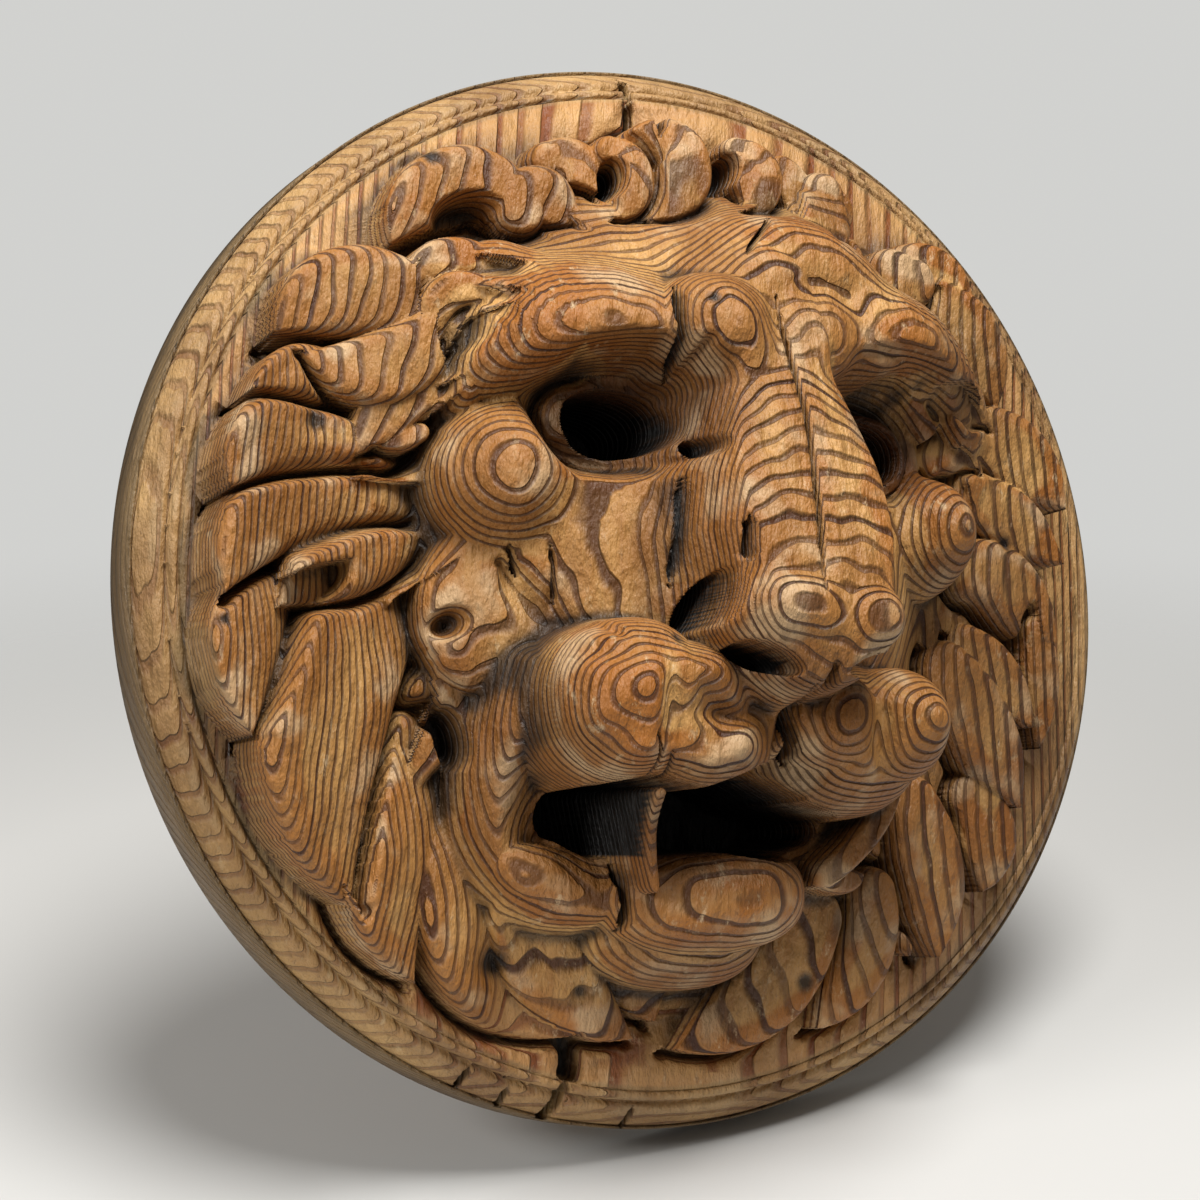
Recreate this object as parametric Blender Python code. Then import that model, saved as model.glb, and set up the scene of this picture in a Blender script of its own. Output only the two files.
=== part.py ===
"""A round wall plaque carved from one block of softwood: a lion's head with a full mane,
on a flat ground inside a moulded rim. The back is flat and lies on the wall (y = 0), the
lion looks along -Y, and +Z is up. The origin is the centre of the back.

The front is one height above the ground for each place (x, z) of the disc. The rim is a
profile of the radius. The head is built up from named forms: bosses (parts of
ellipsoids), locks (rounded leaves along a curved line), pits and grooves. Their places
are shares of the disc's radius and their heights shares of the relief.
"""
import math

import bpy
import numpy as np

# Driving dimensions, in metres
DIAMETER = 0.300
EDGE_DEPTH = 0.0160      # back to the front of the plain edge
GROUND_DEPTH = 0.0250    # back to the flat ground round the mane
RELIEF_DEPTH = 0.0880    # ground to the tip of the nose
EDGE_LEAN = 0.0012       # how far the plain edge leans in towards the front
FILLET_WIDTH = 0.0008    # flat step outside the ovolo
OVOLO_WIDTH = 0.0072     # broad round member of the rim
BEAD_WIDTH = 0.0033      # narrow round member next to the ground
BEAD_SINK = 0.0018       # quirk on either side of the bead
BEAD_SHARE = 0.42        # half width of the bead, as a share of the whole with its quirks
OVOLO_SINK = 0.0036      # ground down to the inner edge of the ovolo
OVOLO_CROWN = 0.0009     # rise of the ovolo above its inner edge
GROOVE_DEPTH = 0.0012    # line cut between ovolo and fillet
HOLLOW_DEPTH = 0.0090    # floor of the mouth and the eyes, below the ground
JOIN_WIDTH = 0.0010      # two narrow flat rows between the field and the rim
BEAD_LINES = 4           # straight-ruled bands that make up the bead
OVOLO_LINES = 5          # and the ovolo
RIM_SEGMENTS = 128       # straight segments round the rim, one for each ring of the field's grid
TRIANGLES = 9600

# The carving is drawn on a disc of radius 1 whose ground reaches FIELD, with the tip of
# the nose at height TIP.
FIELD = 0.915
TIP = 0.585

# Head in cross-section, from chin to hairline: place, height on the middle line, half width
HEAD_Z = [-0.80, -0.74, -0.62, -0.50, -0.38, -0.25, -0.10, 0.05, 0.20, 0.33, 0.45, 0.56, 0.64, 0.70, 0.78]
HEAD_TOP = [-0.05, 0.03, 0.12, 0.19, 0.26, 0.31, 0.33, 0.335, 0.325, 0.33, 0.30, 0.24, 0.17, 0.09, -0.02]
HEAD_HALF = [0.15, 0.22, 0.30, 0.36, 0.42, 0.44, 0.48, 0.52, 0.52, 0.50, 0.46, 0.40, 0.34, 0.30, 0.26]
HEAD_MIDDLE = -0.01      # place of its middle line
HEAD_FOOT = 0.05         # height at its sides

HEAD_ROUND = 2.1         # squareness of the cross-section
HEAD_SIDE = 0.6          # fall outside its sides, per share of the half width
HEAD_BLEND = 0.04        # fillet where it rises from the mane

# Bed of the mane: height inside, how far it reaches, and over what width it falls
BED_HEIGHT = 0.12
BED_REACH = 0.80
BED_FALL = 0.30
BED_ROUND = 0.8

# Mane: the control points (x, z, height) of each lock's line from root to tip, and its half width.
# Each lock lies over the ones before it.
MANE = {
    "right_top": ([(0.45, 0.639, 0.11), (0.53, 0.649, 0.11), (0.60, 0.57, 0.10)], 0.061),
    "right_crest": ([(0.523, 0.566, 0.12), (0.622, 0.507, 0.12), (0.658, 0.377, 0.09)], 0.081),
    "right_upper": ([(0.612, 0.32, 0.12), (0.725, 0.315, 0.10), (0.828, 0.197, 0.085)], 0.081),
    "right_high": ([(0.568, 0.187, 0.14), (0.698, 0.183, 0.11), (0.815, 0.084, 0.095)], 0.068),
    "right_sweep": ([(0.568, 0.049, 0.14), (0.691, 0.053, 0.12), (0.795, -0.077, 0.095)], 0.081),
    "right_edge": ([(0.755, -0.047, 0.095), (0.785, -0.148, 0.095), (0.764, -0.282, 0.07)], 0.041),
    "right_mid": ([(0.572, -0.095, 0.12), (0.658, -0.134, 0.11), (0.735, -0.243, 0.095)], 0.061),
    "right_broad": ([(0.519, -0.147, 0.14), (0.622, -0.244, 0.12), (0.704, -0.399, 0.095)], 0.081),
    "right_low_outer": ([(0.607, -0.38, 0.09), (0.674, -0.46, 0.095), (0.628, -0.56, 0.07)], 0.068),
    "right_low_inner": ([(0.387, -0.441, 0.10), (0.434, -0.55, 0.09), (0.466, -0.682, 0.07)], 0.054),
    "right_low": ([(0.454, -0.402, 0.12), (0.513, -0.52, 0.12), (0.52, -0.681, 0.085)], 0.081),
    "right_beard_side": ([(0.358, -0.56, 0.10), (0.404, -0.70, 0.09), (0.278, -0.812, 0.085)], 0.068),
    "beard_right": ([(0.185, -0.60, 0.11), (0.180, -0.739, 0.11), (0.015, -0.870, 0.07)], 0.115),
    "beard_middle": ([(-0.170, -0.67, 0.10), (-0.110, -0.76, 0.10), (-0.045, -0.868, 0.07)], 0.080),
    "beard_inner": ([(-0.315, -0.58, 0.11), (-0.269, -0.699, 0.11), (-0.120, -0.850, 0.085)], 0.092),
    "beard_outer": ([(-0.420, -0.420, 0.06), (-0.450, -0.590, 0.14), (-0.430, -0.740, 0.12),
                     (-0.220, -0.825, 0.085)], 0.092),
    "left_wisp": ([(-0.507, -0.152, 0.10), (-0.506, -0.223, 0.11), (-0.465, -0.30, 0.10)], 0.047),
    "left_low": ([(-0.520, -0.330, 0.08), (-0.570, -0.481, 0.15), (-0.590, -0.600, 0.12),
                  (-0.500, -0.722, 0.085)], 0.092),
    "left_broad": ([(-0.545, -0.060, 0.09), (-0.690, -0.170, 0.16), (-0.760, -0.380, 0.14),
                    (-0.625, -0.600, 0.085)], 0.118),
    "left_hook": ([(-0.500, 0.105, 0.17), (-0.640, 0.040, 0.17), (-0.780, -0.110, 0.14)], 0.092),
    "left_drop": ([(-0.735, -0.045, 0.05), (-0.870, -0.080, 0.10), (-0.820, -0.325, 0.095)], 0.070),
    "left_fan": ([(-0.560, 0.120, 0.11), (-0.810, 0.140, 0.11), (-0.880, -0.100, 0.085)], 0.085),
    "left_sweep": ([(-0.600, 0.200, 0.13), (-0.800, 0.250, 0.11), (-0.880, 0.070, 0.085)], 0.078),
    "left_high": ([(-0.620, 0.265, 0.10), (-0.745, 0.330, 0.10), (-0.845, 0.240, 0.085)], 0.052),
}
# The same for the curls that lie on the head
CROWN = {
    "leaf_upper": ([(-0.560, 0.425, 0.15), (-0.690, 0.475, 0.15), (-0.800, 0.350, 0.12)], 0.080),
    "leaf_lower": ([(-0.530, 0.375, 0.17), (-0.600, 0.260, 0.17), (-0.755, 0.318, 0.12)], 0.066),
    "ear_leaf": ([(-0.545, 0.272, 0.15), (-0.61, 0.246, 0.14), (-0.65, 0.159, 0.11)], 0.047),
    "ear_bud": ([(-0.543, 0.204, 0.13), (-0.582, 0.189, 0.13), (-0.615, 0.178, 0.11)], 0.024),
    "right_temple": ([(0.45, 0.599, 0.14), (0.385, 0.596, 0.15), (0.334, 0.573, 0.13)], 0.068),
    "right_brow_curl": ([(0.453, 0.372, 0.18), (0.538, 0.394, 0.17), (0.617, 0.339, 0.12)], 0.061),
    "right_eye_curl": ([(0.453, 0.246, 0.18), (0.511, 0.299, 0.18), (0.583, 0.246, 0.14)], 0.047),
    "right_bud": ([(0.264, 0.638, 0.14), (0.307, 0.635, 0.15), (0.303, 0.589, 0.14)], 0.041),
    "crown_back": ([(0.278, 0.762, 0.10), (0.318, 0.742, 0.10), (0.324, 0.696, 0.09)], 0.027),
    "crown_ball": ([(0.238, 0.733, 0.15), (0.228, 0.665, 0.20), (0.17, 0.612, 0.20)], 0.068),
    "crown_ridge": ([(0.161, 0.78, 0.13), (0.20, 0.746, 0.14), (0.171, 0.681, 0.13)], 0.041),
    "crown_hook": ([(0.052, 0.791, 0.15), (0.133, 0.779, 0.18), (0.108, 0.678, 0.19),
                    (0.022, 0.647, 0.17)], 0.038),
    "crown_core": ([(0.047, 0.758, 0.16), (0.084, 0.74, 0.18), (0.051, 0.686, 0.17)], 0.041),
    "crown_wave": ([(-0.134, 0.772, 0.15), (-0.056, 0.814, 0.19), (-0.033, 0.674, 0.20),
                    (-0.143, 0.627, 0.17)], 0.057),
    "crown_ear": ([(-0.193, 0.76, 0.13), (-0.143, 0.754, 0.17), (-0.148, 0.643, 0.18),
                   (-0.202, 0.62, 0.15)], 0.041),
    "crown_left": ([(-0.294, 0.736, 0.09), (-0.233, 0.748, 0.11), (-0.218, 0.675, 0.12)], 0.054),
    "left_crown_arch": ([(-0.381, 0.646, 0.12), (-0.439, 0.711, 0.13), (-0.56, 0.649, 0.11),
                         (-0.597, 0.533, 0.09)], 0.065),
    "left_crown_tip": ([(-0.361, 0.622, 0.13), (-0.341, 0.691, 0.13), (-0.263, 0.606, 0.12)], 0.061),
    "temple_outer": ([(-0.435, 0.506, 0.17), (-0.533, 0.53, 0.17), (-0.569, 0.478, 0.15),
                      (-0.562, 0.415, 0.13)], 0.038),
    "temple_inner": ([(-0.457, 0.443, 0.20), (-0.521, 0.465, 0.19), (-0.552, 0.413, 0.17),
                      (-0.525, 0.341, 0.15)], 0.035),
    "temple_core": ([(-0.468, 0.401, 0.18), (-0.494, 0.394, 0.17), (-0.512, 0.334, 0.14)], 0.024),
}
# Every lock: drop of its rounded edge, squareness of that edge, fall outside it, width at the
# root as a share, where it is widest, how late it narrows, fillet, and the furrow under its
# lower edge
LOCK_THICK = 0.040
LOCK_ROUND = 5
LOCK_SIDE = 3
LOCK_SEARCH = 0.3        # how far outside its edge a lock can still be felt
LOCK_ROOT = 0.75
LOCK_WIDEST = 0.4
LOCK_POINT = 2.2
LOCK_BLEND = 0.006
CLEFT_DEPTH = 0.060
CLEFT_WIDTH = 0.018
# The left side of the mane rises outwards about this place
MANE_RISE = 0.24
MANE_MIDDLE = 0.64
MANE_RISE_FROM = 0.15    # distance left of the middle where this starts
MANE_RISE_FULL = 0.35

# Bosses: centre, half sizes, top, height at their edge, turn in degrees, blend, squareness
FACE_BOSSES = {
    "left_cheek": ((-0.408, 0.132), (0.125, 0.135), 0.300, 0.11, 0, 0.06, 2.0),
    "right_cheek": ((0.420, 0.095), (0.110, 0.125), 0.300, 0.10, 0, 0.05, 2.0),
    "left_frown": ((-0.112, 0.374), (0.100, 0.110), 0.455, 0.31, 0, 0.06, 2.2),
    "right_frown": ((0.085, 0.385), (0.105, 0.110), 0.445, 0.28, 0, 0.06, 2.6),
}
# Brows: line with heights, reach above and below it, drop at that reach
BROWS = {
    "left": ([(-0.48, 0.28, 0.20), (-0.39, 0.37, 0.40), (-0.27, 0.41, 0.43), (-0.13, 0.33, 0.42)],
             0.16, 0.062, 0.20),
    "right": ([(0.53, 0.24, 0.16), (0.45, 0.42, 0.35), (0.27, 0.46, 0.42), (0.13, 0.36, 0.42)],
              0.16, 0.060, 0.18),
    "right_high": ([(0.24, 0.44, 0.34), (0.15, 0.54, 0.37), (0.03, 0.52, 0.37), (-0.04, 0.44, 0.38)],
                   0.12, 0.10, 0.10),
}
BROW_BLEND = 0.05
# Soft swellings: centre, half sizes, added height
SWELLINGS = {
    "left_jaw": ((-0.235, -0.035), (0.105, 0.090), 0.035),
    "right_jaw": ((0.235, -0.03), (0.10, 0.10), 0.035),
    "forehead": ((0.03, 0.60), (0.12, 0.05), 0.025),
}
# Orbits: distance from the middle, height, half sizes, turn, depth, and where the slope starts and ends
ORBIT = (0.245, 0.240, (0.150, 0.115), 4, 0.13, 0.5, 1.12)
# Eyeballs stand in their orbits once these are cut
EYE_BOSSES = {
    "left_eyeball": ((-0.257, 0.219), (0.106, 0.076), 0.300, 0.24, -4, 0.03, 2.2),
    "right_eyeball": ((0.267, 0.220), (0.100, 0.074), 0.300, 0.24, 4, 0.03, 2.2),
}
MUZZLE_BOSSES = {
    "left_nose_wing": ((-0.068, -0.112), (0.092, 0.082), 0.560, 0.44, -8, 0.06, 2.2),
    "right_nose_wing": ((0.090, -0.118), (0.072, 0.070), 0.560, 0.44, 6, 0.06, 2.2),
    "left_nose_tip": ((-0.042, -0.110), (0.085, 0.055), 0.585, 0.525, 0, 0.03, 2.2),
    "right_nose_tip": ((0.086, -0.118), (0.064, 0.050), 0.582, 0.525, 0, 0.03, 2.2),
    "lip_middle": ((0.0, -0.24), (0.11, 0.12), 0.430, 0.20, 0, 0.02, 2.2),
    "left_lip_base": ((-0.205, -0.264), (0.185, 0.150), 0.420, 0.24, 0, 0.01, 2.4),
    "left_lip_pad": ((-0.252, -0.250), (0.130, 0.132), 0.468, 0.34, 8, 0.04, 2.2),
    "left_lip_lobe": ((-0.115, -0.312), (0.120, 0.095), 0.448, 0.34, -12, 0.06, 2.2),
    "left_lip_rise": ((-0.130, -0.220), (0.080, 0.055), 0.460, 0.36, -35, 0.05, 2.2),
    "right_lip_base": ((0.178, -0.297), (0.178, 0.140), 0.405, 0.22, 0, 0.01, 2.4),
    "right_lip_pad": ((0.262, -0.272), (0.095, 0.100), 0.440, 0.32, 0, 0.04, 2.2),
    "right_lip_lobe": ((0.105, -0.270), (0.095, 0.085), 0.446, 0.32, 20, 0.04, 2.2),
}
CHIN_BOSSES = {
    "chin_skirt": ((-0.045, -0.610), (0.178, 0.128), 0.240, 0.06, 0, 0.03, 2.4),
    "chin": ((-0.030, -0.572), (0.188, 0.096), 0.304, 0.19, 3, 0.03, 2.4),
    "lip_curl": ((-0.318, -0.522), (0.080, 0.044), 0.218, 0.14, -12, 0.04, 2.2),
}
BOSS_SIDE = 2.0          # fall of a boss outside its edge, per share of its size

# Folds: line, half width, thickness at the edge, blend, width at the root, bluntness of the tip
FOLDS = {
    "right_brow_lid": ([(0.19, 0.36, 0.36), (0.27, 0.46, 0.35), (0.42, 0.42, 0.27), (0.42, 0.27, 0.20)],
                       0.055, 0.06, 0.02, 0.9, 8),
}
LIP_FOLDS = {
    "right_lip_fold": ([(0.33, -0.36, 0.24), (0.30, -0.47, 0.24), (0.16, -0.55, 0.24)],
                       0.032, 0.10, 0.03, 0.8, 8),
    "chin_fin": ([(0.19, -0.53, 0.22), (0.27, -0.555, 0.20), (0.31, -0.525, 0.16)], 0.026, 0.05, 0.01, 0.8, 3),
}
# Lip at the left corner: the line of its crest, reach inwards and outwards, drop
LIP = ([(-0.360, -0.20, 0.30), (-0.420, -0.33, 0.27), (-0.455, -0.53, 0.13), (-0.360, -0.63, 0.20),
        (-0.200, -0.580, 0.24)], 0.15, 0.050, 0.13)
# A slim strut left standing between the lips: line, half width, thickness, blend, width at the
# root, bluntness of the tip
STRUT = ([(-0.212, -0.405, 0.390), (-0.200, -0.47, 0.315), (-0.178, -0.565, 0.310)], 0.020, 0.25, 0.04, 1.0, 20)

# Nose against the height z: half width of its broad top and of its foot, its ridge line, its fall
NOSE_Z = [-0.16, -0.05, 0.02, 0.12, 0.20, 0.30, 0.42]
NOSE_FLAT = [0.105, 0.112, 0.125, 0.125, 0.112, 0.090, 0.065]
NOSE_FOOT = [0.150, 0.160, 0.180, 0.180, 0.165, 0.140, 0.120]
NOSE_LINE = [(0.0, 0.46, 0.36), (0.0, 0.28, 0.455), (0.012, 0.09, 0.545), (0.015, -0.12, 0.572)]
NOSE_FALL = 0.20
NOSE_CROWN = 0.020
NOSE_BLEND = 0.03

# Pits: centre, half sizes, turn in degrees, width of the slope, squareness
HOLLOWS = {
    "left_eye": ((-0.258, 0.219), (0.079, 0.051), -4, 0.12, 2.2),
    "right_eye": ((0.268, 0.220), (0.074, 0.052), 4, 0.12, 2.2),
}
# The same with the height of the floor
SMALL_PITS = {
    "tear_hole": ((-0.150, 0.162), (0.020, 0.018), 0, 0.3, 0.12),
    "left_nostril": ((-0.085, -0.190), (0.042, 0.015), -25, 0.3, 0.18),
    "left_nostril_slit": ((-0.150, -0.095), (0.013, 0.045), -18, 0.3, 0.20),
    "right_nostril": ((0.115, -0.190), (0.060, 0.014), 14, 0.3, 0.18),
    "left_gap": ((-0.490, -0.125), (0.042, 0.034), 30, 0.5, 0.05),
    "low_gap": ((-0.469, -0.310), (0.020, 0.046), 15, 0.4, 0.01),
    "beard_gap": ((-0.430, -0.475), (0.018, 0.040), 20, 0.4, 0.02),
    "crown_gap": ((-0.464, 0.603), (0.050, 0.030), 20, 0.5, 0.03),
    "curl_gap": ((-0.196, 0.702), (0.018, 0.032), -10, 0.4, 0.02),
    "hook_gap": ((0.023, 0.741), (0.018, 0.034), -20, 0.4, 0.02),
}
# The open mouth: a line through it with its half width, left corner to right corner
MOUTH = ([(-0.275, -0.445), (-0.225, -0.452), (-0.13, -0.450),
          (-0.02, -0.424), (0.09, -0.458), (0.170, -0.455)],
         [0.030, 0.050, 0.046, 0.068, 0.050, 0.024])
MOUTH_SLOPE = 0.12
# Furrows: line, half width, depth
FURROWS = {
    "inner_orbit": ([(-0.180, 0.40), (-0.172, 0.30), (-0.152, 0.17)], 0.026, 0.08),
    "under_lid": ([(-0.355, 0.185), (-0.26, 0.125), (-0.150, 0.140)], 0.020, 0.045),
    "cheek_crease": ([(-0.45, -0.02), (-0.38, -0.10), (-0.30, -0.150)], 0.024, 0.045),
    "lip_cleft": ([(0.015, -0.20), (0.01, -0.30), (-0.010, -0.38)], 0.014, 0.05),
}


def ease(low, high, value):
    """0 below low, 1 above high, and a smooth rise between."""
    t = np.clip((value - low) / (high - low), 0, 1)
    return t * t * (3 - 2 * t)


def join(a, b, blend):
    """The higher of two heights, with a fillet where they are within blend of each other."""
    return np.maximum(a, b) + np.clip(blend - np.abs(a - b), 0, None) ** 2 / (4 * blend)


def curve(controls, steps=24):
    """Points of the Bezier curve of these control points."""
    t = np.linspace(0, 1, steps + 1)[:, None, None]
    rows = np.repeat(np.array(controls, float)[None], steps + 1, 0)
    for _ in range(len(controls) - 1):
        rows = rows[:, :-1] * (1 - t) + rows[:, 1:] * t
    return rows[:, 0]


def nearest(x, z, line):
    """For each place: its distance from the line, the share of the way along, the line's height
    there, and on which side of the line it is (1 left, -1 right)."""
    run = line[1:, :2] - line[:-1, :2]
    square = (run ** 2).sum(1)
    dx = x[..., None] - line[:-1, 0]
    dz = z[..., None] - line[:-1, 1]
    t = np.clip((dx * run[:, 0] + dz * run[:, 1]) / square, 0, 1)
    gap = (dx - t * run[:, 0]) ** 2 + (dz - t * run[:, 1]) ** 2
    k = gap.argmin(-1)
    t = np.take_along_axis(t, k[..., None], -1)[..., 0]
    gap = np.sqrt(np.take_along_axis(gap, k[..., None], -1)[..., 0])
    dx = np.take_along_axis(dx, k[..., None], -1)[..., 0]
    dz = np.take_along_axis(dz, k[..., None], -1)[..., 0]
    side = np.sign(run[k, 0] * dz - run[k, 1] * dx)
    length = np.concatenate([[0], np.cumsum(np.sqrt(square))])
    share = (length[k] + t * np.sqrt(square)[k]) / length[-1]
    top = line[k, 2] * (1 - t) + line[k + 1, 2] * t
    return gap, share, top, side


def lock(h, x, z, controls, half, thick=LOCK_THICK, root=LOCK_ROOT, point=LOCK_POINT, blend=LOCK_BLEND,
         rise=0.0, cleft=0.0):
    """A flat leaf along a curve, rounded at its edges and pointed at its tip, with a furrow cut
    under its lower edge."""
    line = curve(controls)
    reach = (1 + LOCK_SEARCH) * half
    near = ((x > line[:, 0].min() - reach) & (x < line[:, 0].max() + reach)
            & (z > line[:, 1].min() - reach) & (z < line[:, 1].max() + reach))
    if not near.any():
        return h
    gap, share, top, side = nearest(x[near], z[near], line)
    swelling = root + (1 - root) * np.sin(np.pi / 2 * np.clip(share / LOCK_WIDEST, 0, 1))
    taper = 1 - np.clip((share - LOCK_WIDEST) / (1 - LOCK_WIDEST), 0, 1) ** point
    width = half * swelling * np.clip(taper, 0.02, 1)
    q = gap / width
    edge = 1 - np.sqrt(np.clip(1 - q ** LOCK_ROUND, 0, 1))
    leaf = top - thick * edge - LOCK_SIDE * np.clip(q - 1, 0, None)
    outwards = np.clip(-x[near] - MANE_MIDDLE, -MANE_MIDDLE / 2, None)
    leaf += rise * outwards * ease(MANE_RISE_FROM, MANE_RISE_FULL, -x[near])
    low = 0.5 - 0.5 * side * np.sign(line[-1, 0] - line[0, 0])
    furrowed = h[near] - cleft * low * np.exp(-(np.clip(gap - width, 0, None) / CLEFT_WIDTH) ** 2)
    out = h.copy()
    out[near] = join(furrowed, leaf, blend)
    return out


def oval(x, z, centre, half, turn, squareness):
    """Distance from a centre as a share of a turned ellipse's half sizes: 1 on its edge."""
    a = math.radians(turn)
    dx = x - centre[0]
    dz = z - centre[1]
    u = np.abs(dx * math.cos(a) + dz * math.sin(a)) / half[0]
    v = np.abs(dz * math.cos(a) - dx * math.sin(a)) / half[1]
    return (u ** squareness + v ** squareness) ** (1 / squareness)


def boss(h, x, z, centre, half, top, edge, turn, blend, squareness):
    """The cap of an ellipsoid, falling steeply outside its edge."""
    q = oval(x, z, centre, half, turn, squareness)
    cap = edge + (top - edge) * np.sqrt(np.clip(1 - q * q, 0, 1)) - BOSS_SIDE * np.clip(q - 1, 0, None)
    return join(h, cap, blend)


def pit(h, x, z, centre, half, turn, slope, floor, squareness=2.0):
    """Lowers the surface to a floor inside an ellipse."""
    q = oval(x, z, centre, half, turn, squareness)
    inside = 1 - ease(1 - slope, 1 + slope, q)
    return h + (np.minimum(floor, h) - h) * inside


def head_block(x, z):
    """The head before its features: a rounded cross-section that changes from chin to hairline."""
    top = np.interp(z, HEAD_Z, HEAD_TOP)
    q = np.abs(x - HEAD_MIDDLE) / np.interp(z, HEAD_Z, HEAD_HALF)
    foot = np.minimum(HEAD_FOOT, top)
    dome = np.clip(1 - q ** HEAD_ROUND, 0, 1) ** 0.7
    return foot + (top - foot) * dome - HEAD_SIDE * np.clip(q - 1, 0, None)


def ridge(h, x, z, controls, above, below, drop):
    """A crest along a curve, reaching farther on the side above its line than below it."""
    gap, _, top, side = nearest(x, z, curve(controls))
    up = side * np.sign(controls[-1][0] - controls[0][0]) > 0
    q = gap / np.where(up, above, below)
    return join(h, top - drop * np.minimum(q, 1) ** 2 - 2 * drop * np.clip(q - 1, 0, None), BROW_BLEND)


def swell(h, x, z, centre, half, height):
    """Adds a soft bump on an ellipse."""
    return h + height * np.exp(-oval(x, z, centre, half, 0, 2.0) ** 2)


def eye_socket(h, x, z, side):
    """A bowl sunk under the brow, on the left (-1) or the right (1)."""
    across, up, half, turn, depth, start, end = ORBIT
    bowl = oval(x, z, (across * side, up), half, -turn * side, 2.2)
    return h - depth * (1 - ease(start, end, bowl))


def nose_bridge(h, x, z):
    """A broad ridge from the frown to the tip, steep at its sides."""
    gap, _, top, _ = nearest(x, z, curve(NOSE_LINE))
    flat = np.interp(z, NOSE_Z, NOSE_FLAT)
    foot = np.interp(z, NOSE_Z, NOSE_FOOT)
    t = (gap - flat) / (foot - flat)
    side = NOSE_FALL * (ease(0, 1, t) + np.clip(t - 1, 0, None))
    return join(h, top - NOSE_CROWN * (gap / flat) ** 2 - side, NOSE_BLEND)


def open_mouth(h, x, z, floor):
    """Cuts the mouth down to a floor along a line whose half width changes on the way."""
    line, halves = MOUTH
    line = np.array([point + (half,) for point, half in zip(line, halves)])
    gap, _, half, _ = nearest(x, z, line)
    inside = 1 - ease(1 - MOUTH_SLOPE, 1 + MOUTH_SLOPE, gap / half)
    return h + (np.minimum(floor, h) - h) * inside


def furrow(h, x, z, controls, half, depth):
    """A rounded groove along a curve, running out at both ends."""
    gap, share, _, _ = nearest(x, z, curve([point + (0.0,) for point in controls]))
    width = half * np.sqrt(np.sin(np.pi * np.clip(share, 0.03, 0.97)))
    return h - depth * np.exp(-(gap / width) ** 2)


def head(x, z, floor):
    """Height of the lion above the ground."""
    h = BED_HEIGHT * np.clip((BED_REACH - np.hypot(x, z)) / BED_FALL, 0, 1) ** BED_ROUND
    for controls, half in MANE.values():
        h = lock(h, x, z, controls, half, rise=MANE_RISE, cleft=CLEFT_DEPTH)
    h = join(h, head_block(x, z), HEAD_BLEND)
    for centre, half, top, edge, turn, blend, squareness in FACE_BOSSES.values():
        h = boss(h, x, z, centre, half, top, edge, turn, blend, squareness)
    for controls, above, below, drop in BROWS.values():
        h = ridge(h, x, z, controls, above, below, drop)
    for centre, half, height in SWELLINGS.values():
        h = swell(h, x, z, centre, half, height)
    for controls, half, thick, blend, root, point in FOLDS.values():
        h = lock(h, x, z, controls, half, thick, root, point, blend)
    h = eye_socket(h, x, z, -1)
    h = eye_socket(h, x, z, 1)
    for centre, half, top, edge, turn, blend, squareness in EYE_BOSSES.values():
        h = boss(h, x, z, centre, half, top, edge, turn, blend, squareness)
    h = nose_bridge(h, x, z)
    for bosses in (MUZZLE_BOSSES, CHIN_BOSSES):
        for centre, half, top, edge, turn, blend, squareness in bosses.values():
            h = boss(h, x, z, centre, half, top, edge, turn, blend, squareness)
    for controls, half in CROWN.values():
        h = lock(h, x, z, controls, half, cleft=CLEFT_DEPTH)
    h = ridge(h, x, z, *LIP)
    for controls, half, depth in FURROWS.values():
        h = furrow(h, x, z, controls, half, depth)
    for controls, half, thick, blend, root, point in LIP_FOLDS.values():
        h = lock(h, x, z, controls, half, thick, root, point, blend)
    h = open_mouth(h, x, z, floor)
    for centre, half, turn, slope, squareness in HOLLOWS.values():
        h = pit(h, x, z, centre, half, turn, slope, floor, squareness)
    for centre, half, turn, slope, bottom in SMALL_PITS.values():
        h = pit(h, x, z, centre, half, turn, slope, bottom)
    controls, half, thick, blend, root, point = STRUT
    h = lock(h, x, z, controls, half, thick, root, point, blend)
    return np.clip(h, floor, TIP)


def rim(radius):
    """Height of the moulded rim above the ground, in metres: bead, ovolo, groove and fillet."""
    outer = DIAMETER / 2 - EDGE_LEAN
    ovolo_out = outer - FILLET_WIDTH
    ovolo_in = ovolo_out - OVOLO_WIDTH
    edge = EDGE_DEPTH - GROUND_DEPTH
    bead_centre = ovolo_in - BEAD_WIDTH / 2
    across = np.clip(np.abs(radius - bead_centre) / (BEAD_WIDTH * BEAD_SHARE), 0, 1)
    bead = -BEAD_SINK * (1 - np.sqrt(1 - across ** 2))
    t = np.clip((radius - ovolo_in) / OVOLO_WIDTH, 0, 1)
    crown = OVOLO_CROWN * np.sin(np.pi * np.clip(1.6 * t, 0, 1))
    fall = (-edge - OVOLO_SINK) * t ** 2.2
    ovolo = -OVOLO_SINK + crown - fall - GROOVE_DEPTH * ease(0.9, 1, t)
    h = np.where(radius < ovolo_in, bead, ovolo)
    return np.where(radius > ovolo_out + 1e-6, edge, h)


def rim_profile():
    """(radius, height above the ground) of each line of the moulding, from the ground's edge outwards."""
    outer = DIAMETER / 2 - EDGE_LEAN
    ovolo_out = outer - FILLET_WIDTH
    ovolo_in = ovolo_out - OVOLO_WIDTH
    bead = np.linspace(ovolo_in - BEAD_WIDTH, ovolo_in, BEAD_LINES + 1)[:-1]
    ovolo = np.linspace(ovolo_in, ovolo_out, OVOLO_LINES + 1)
    fillet = [ovolo_out + FILLET_WIDTH / 4, outer]
    radius = np.concatenate([bead, ovolo, fillet])
    return radius, rim(radius)


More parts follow.
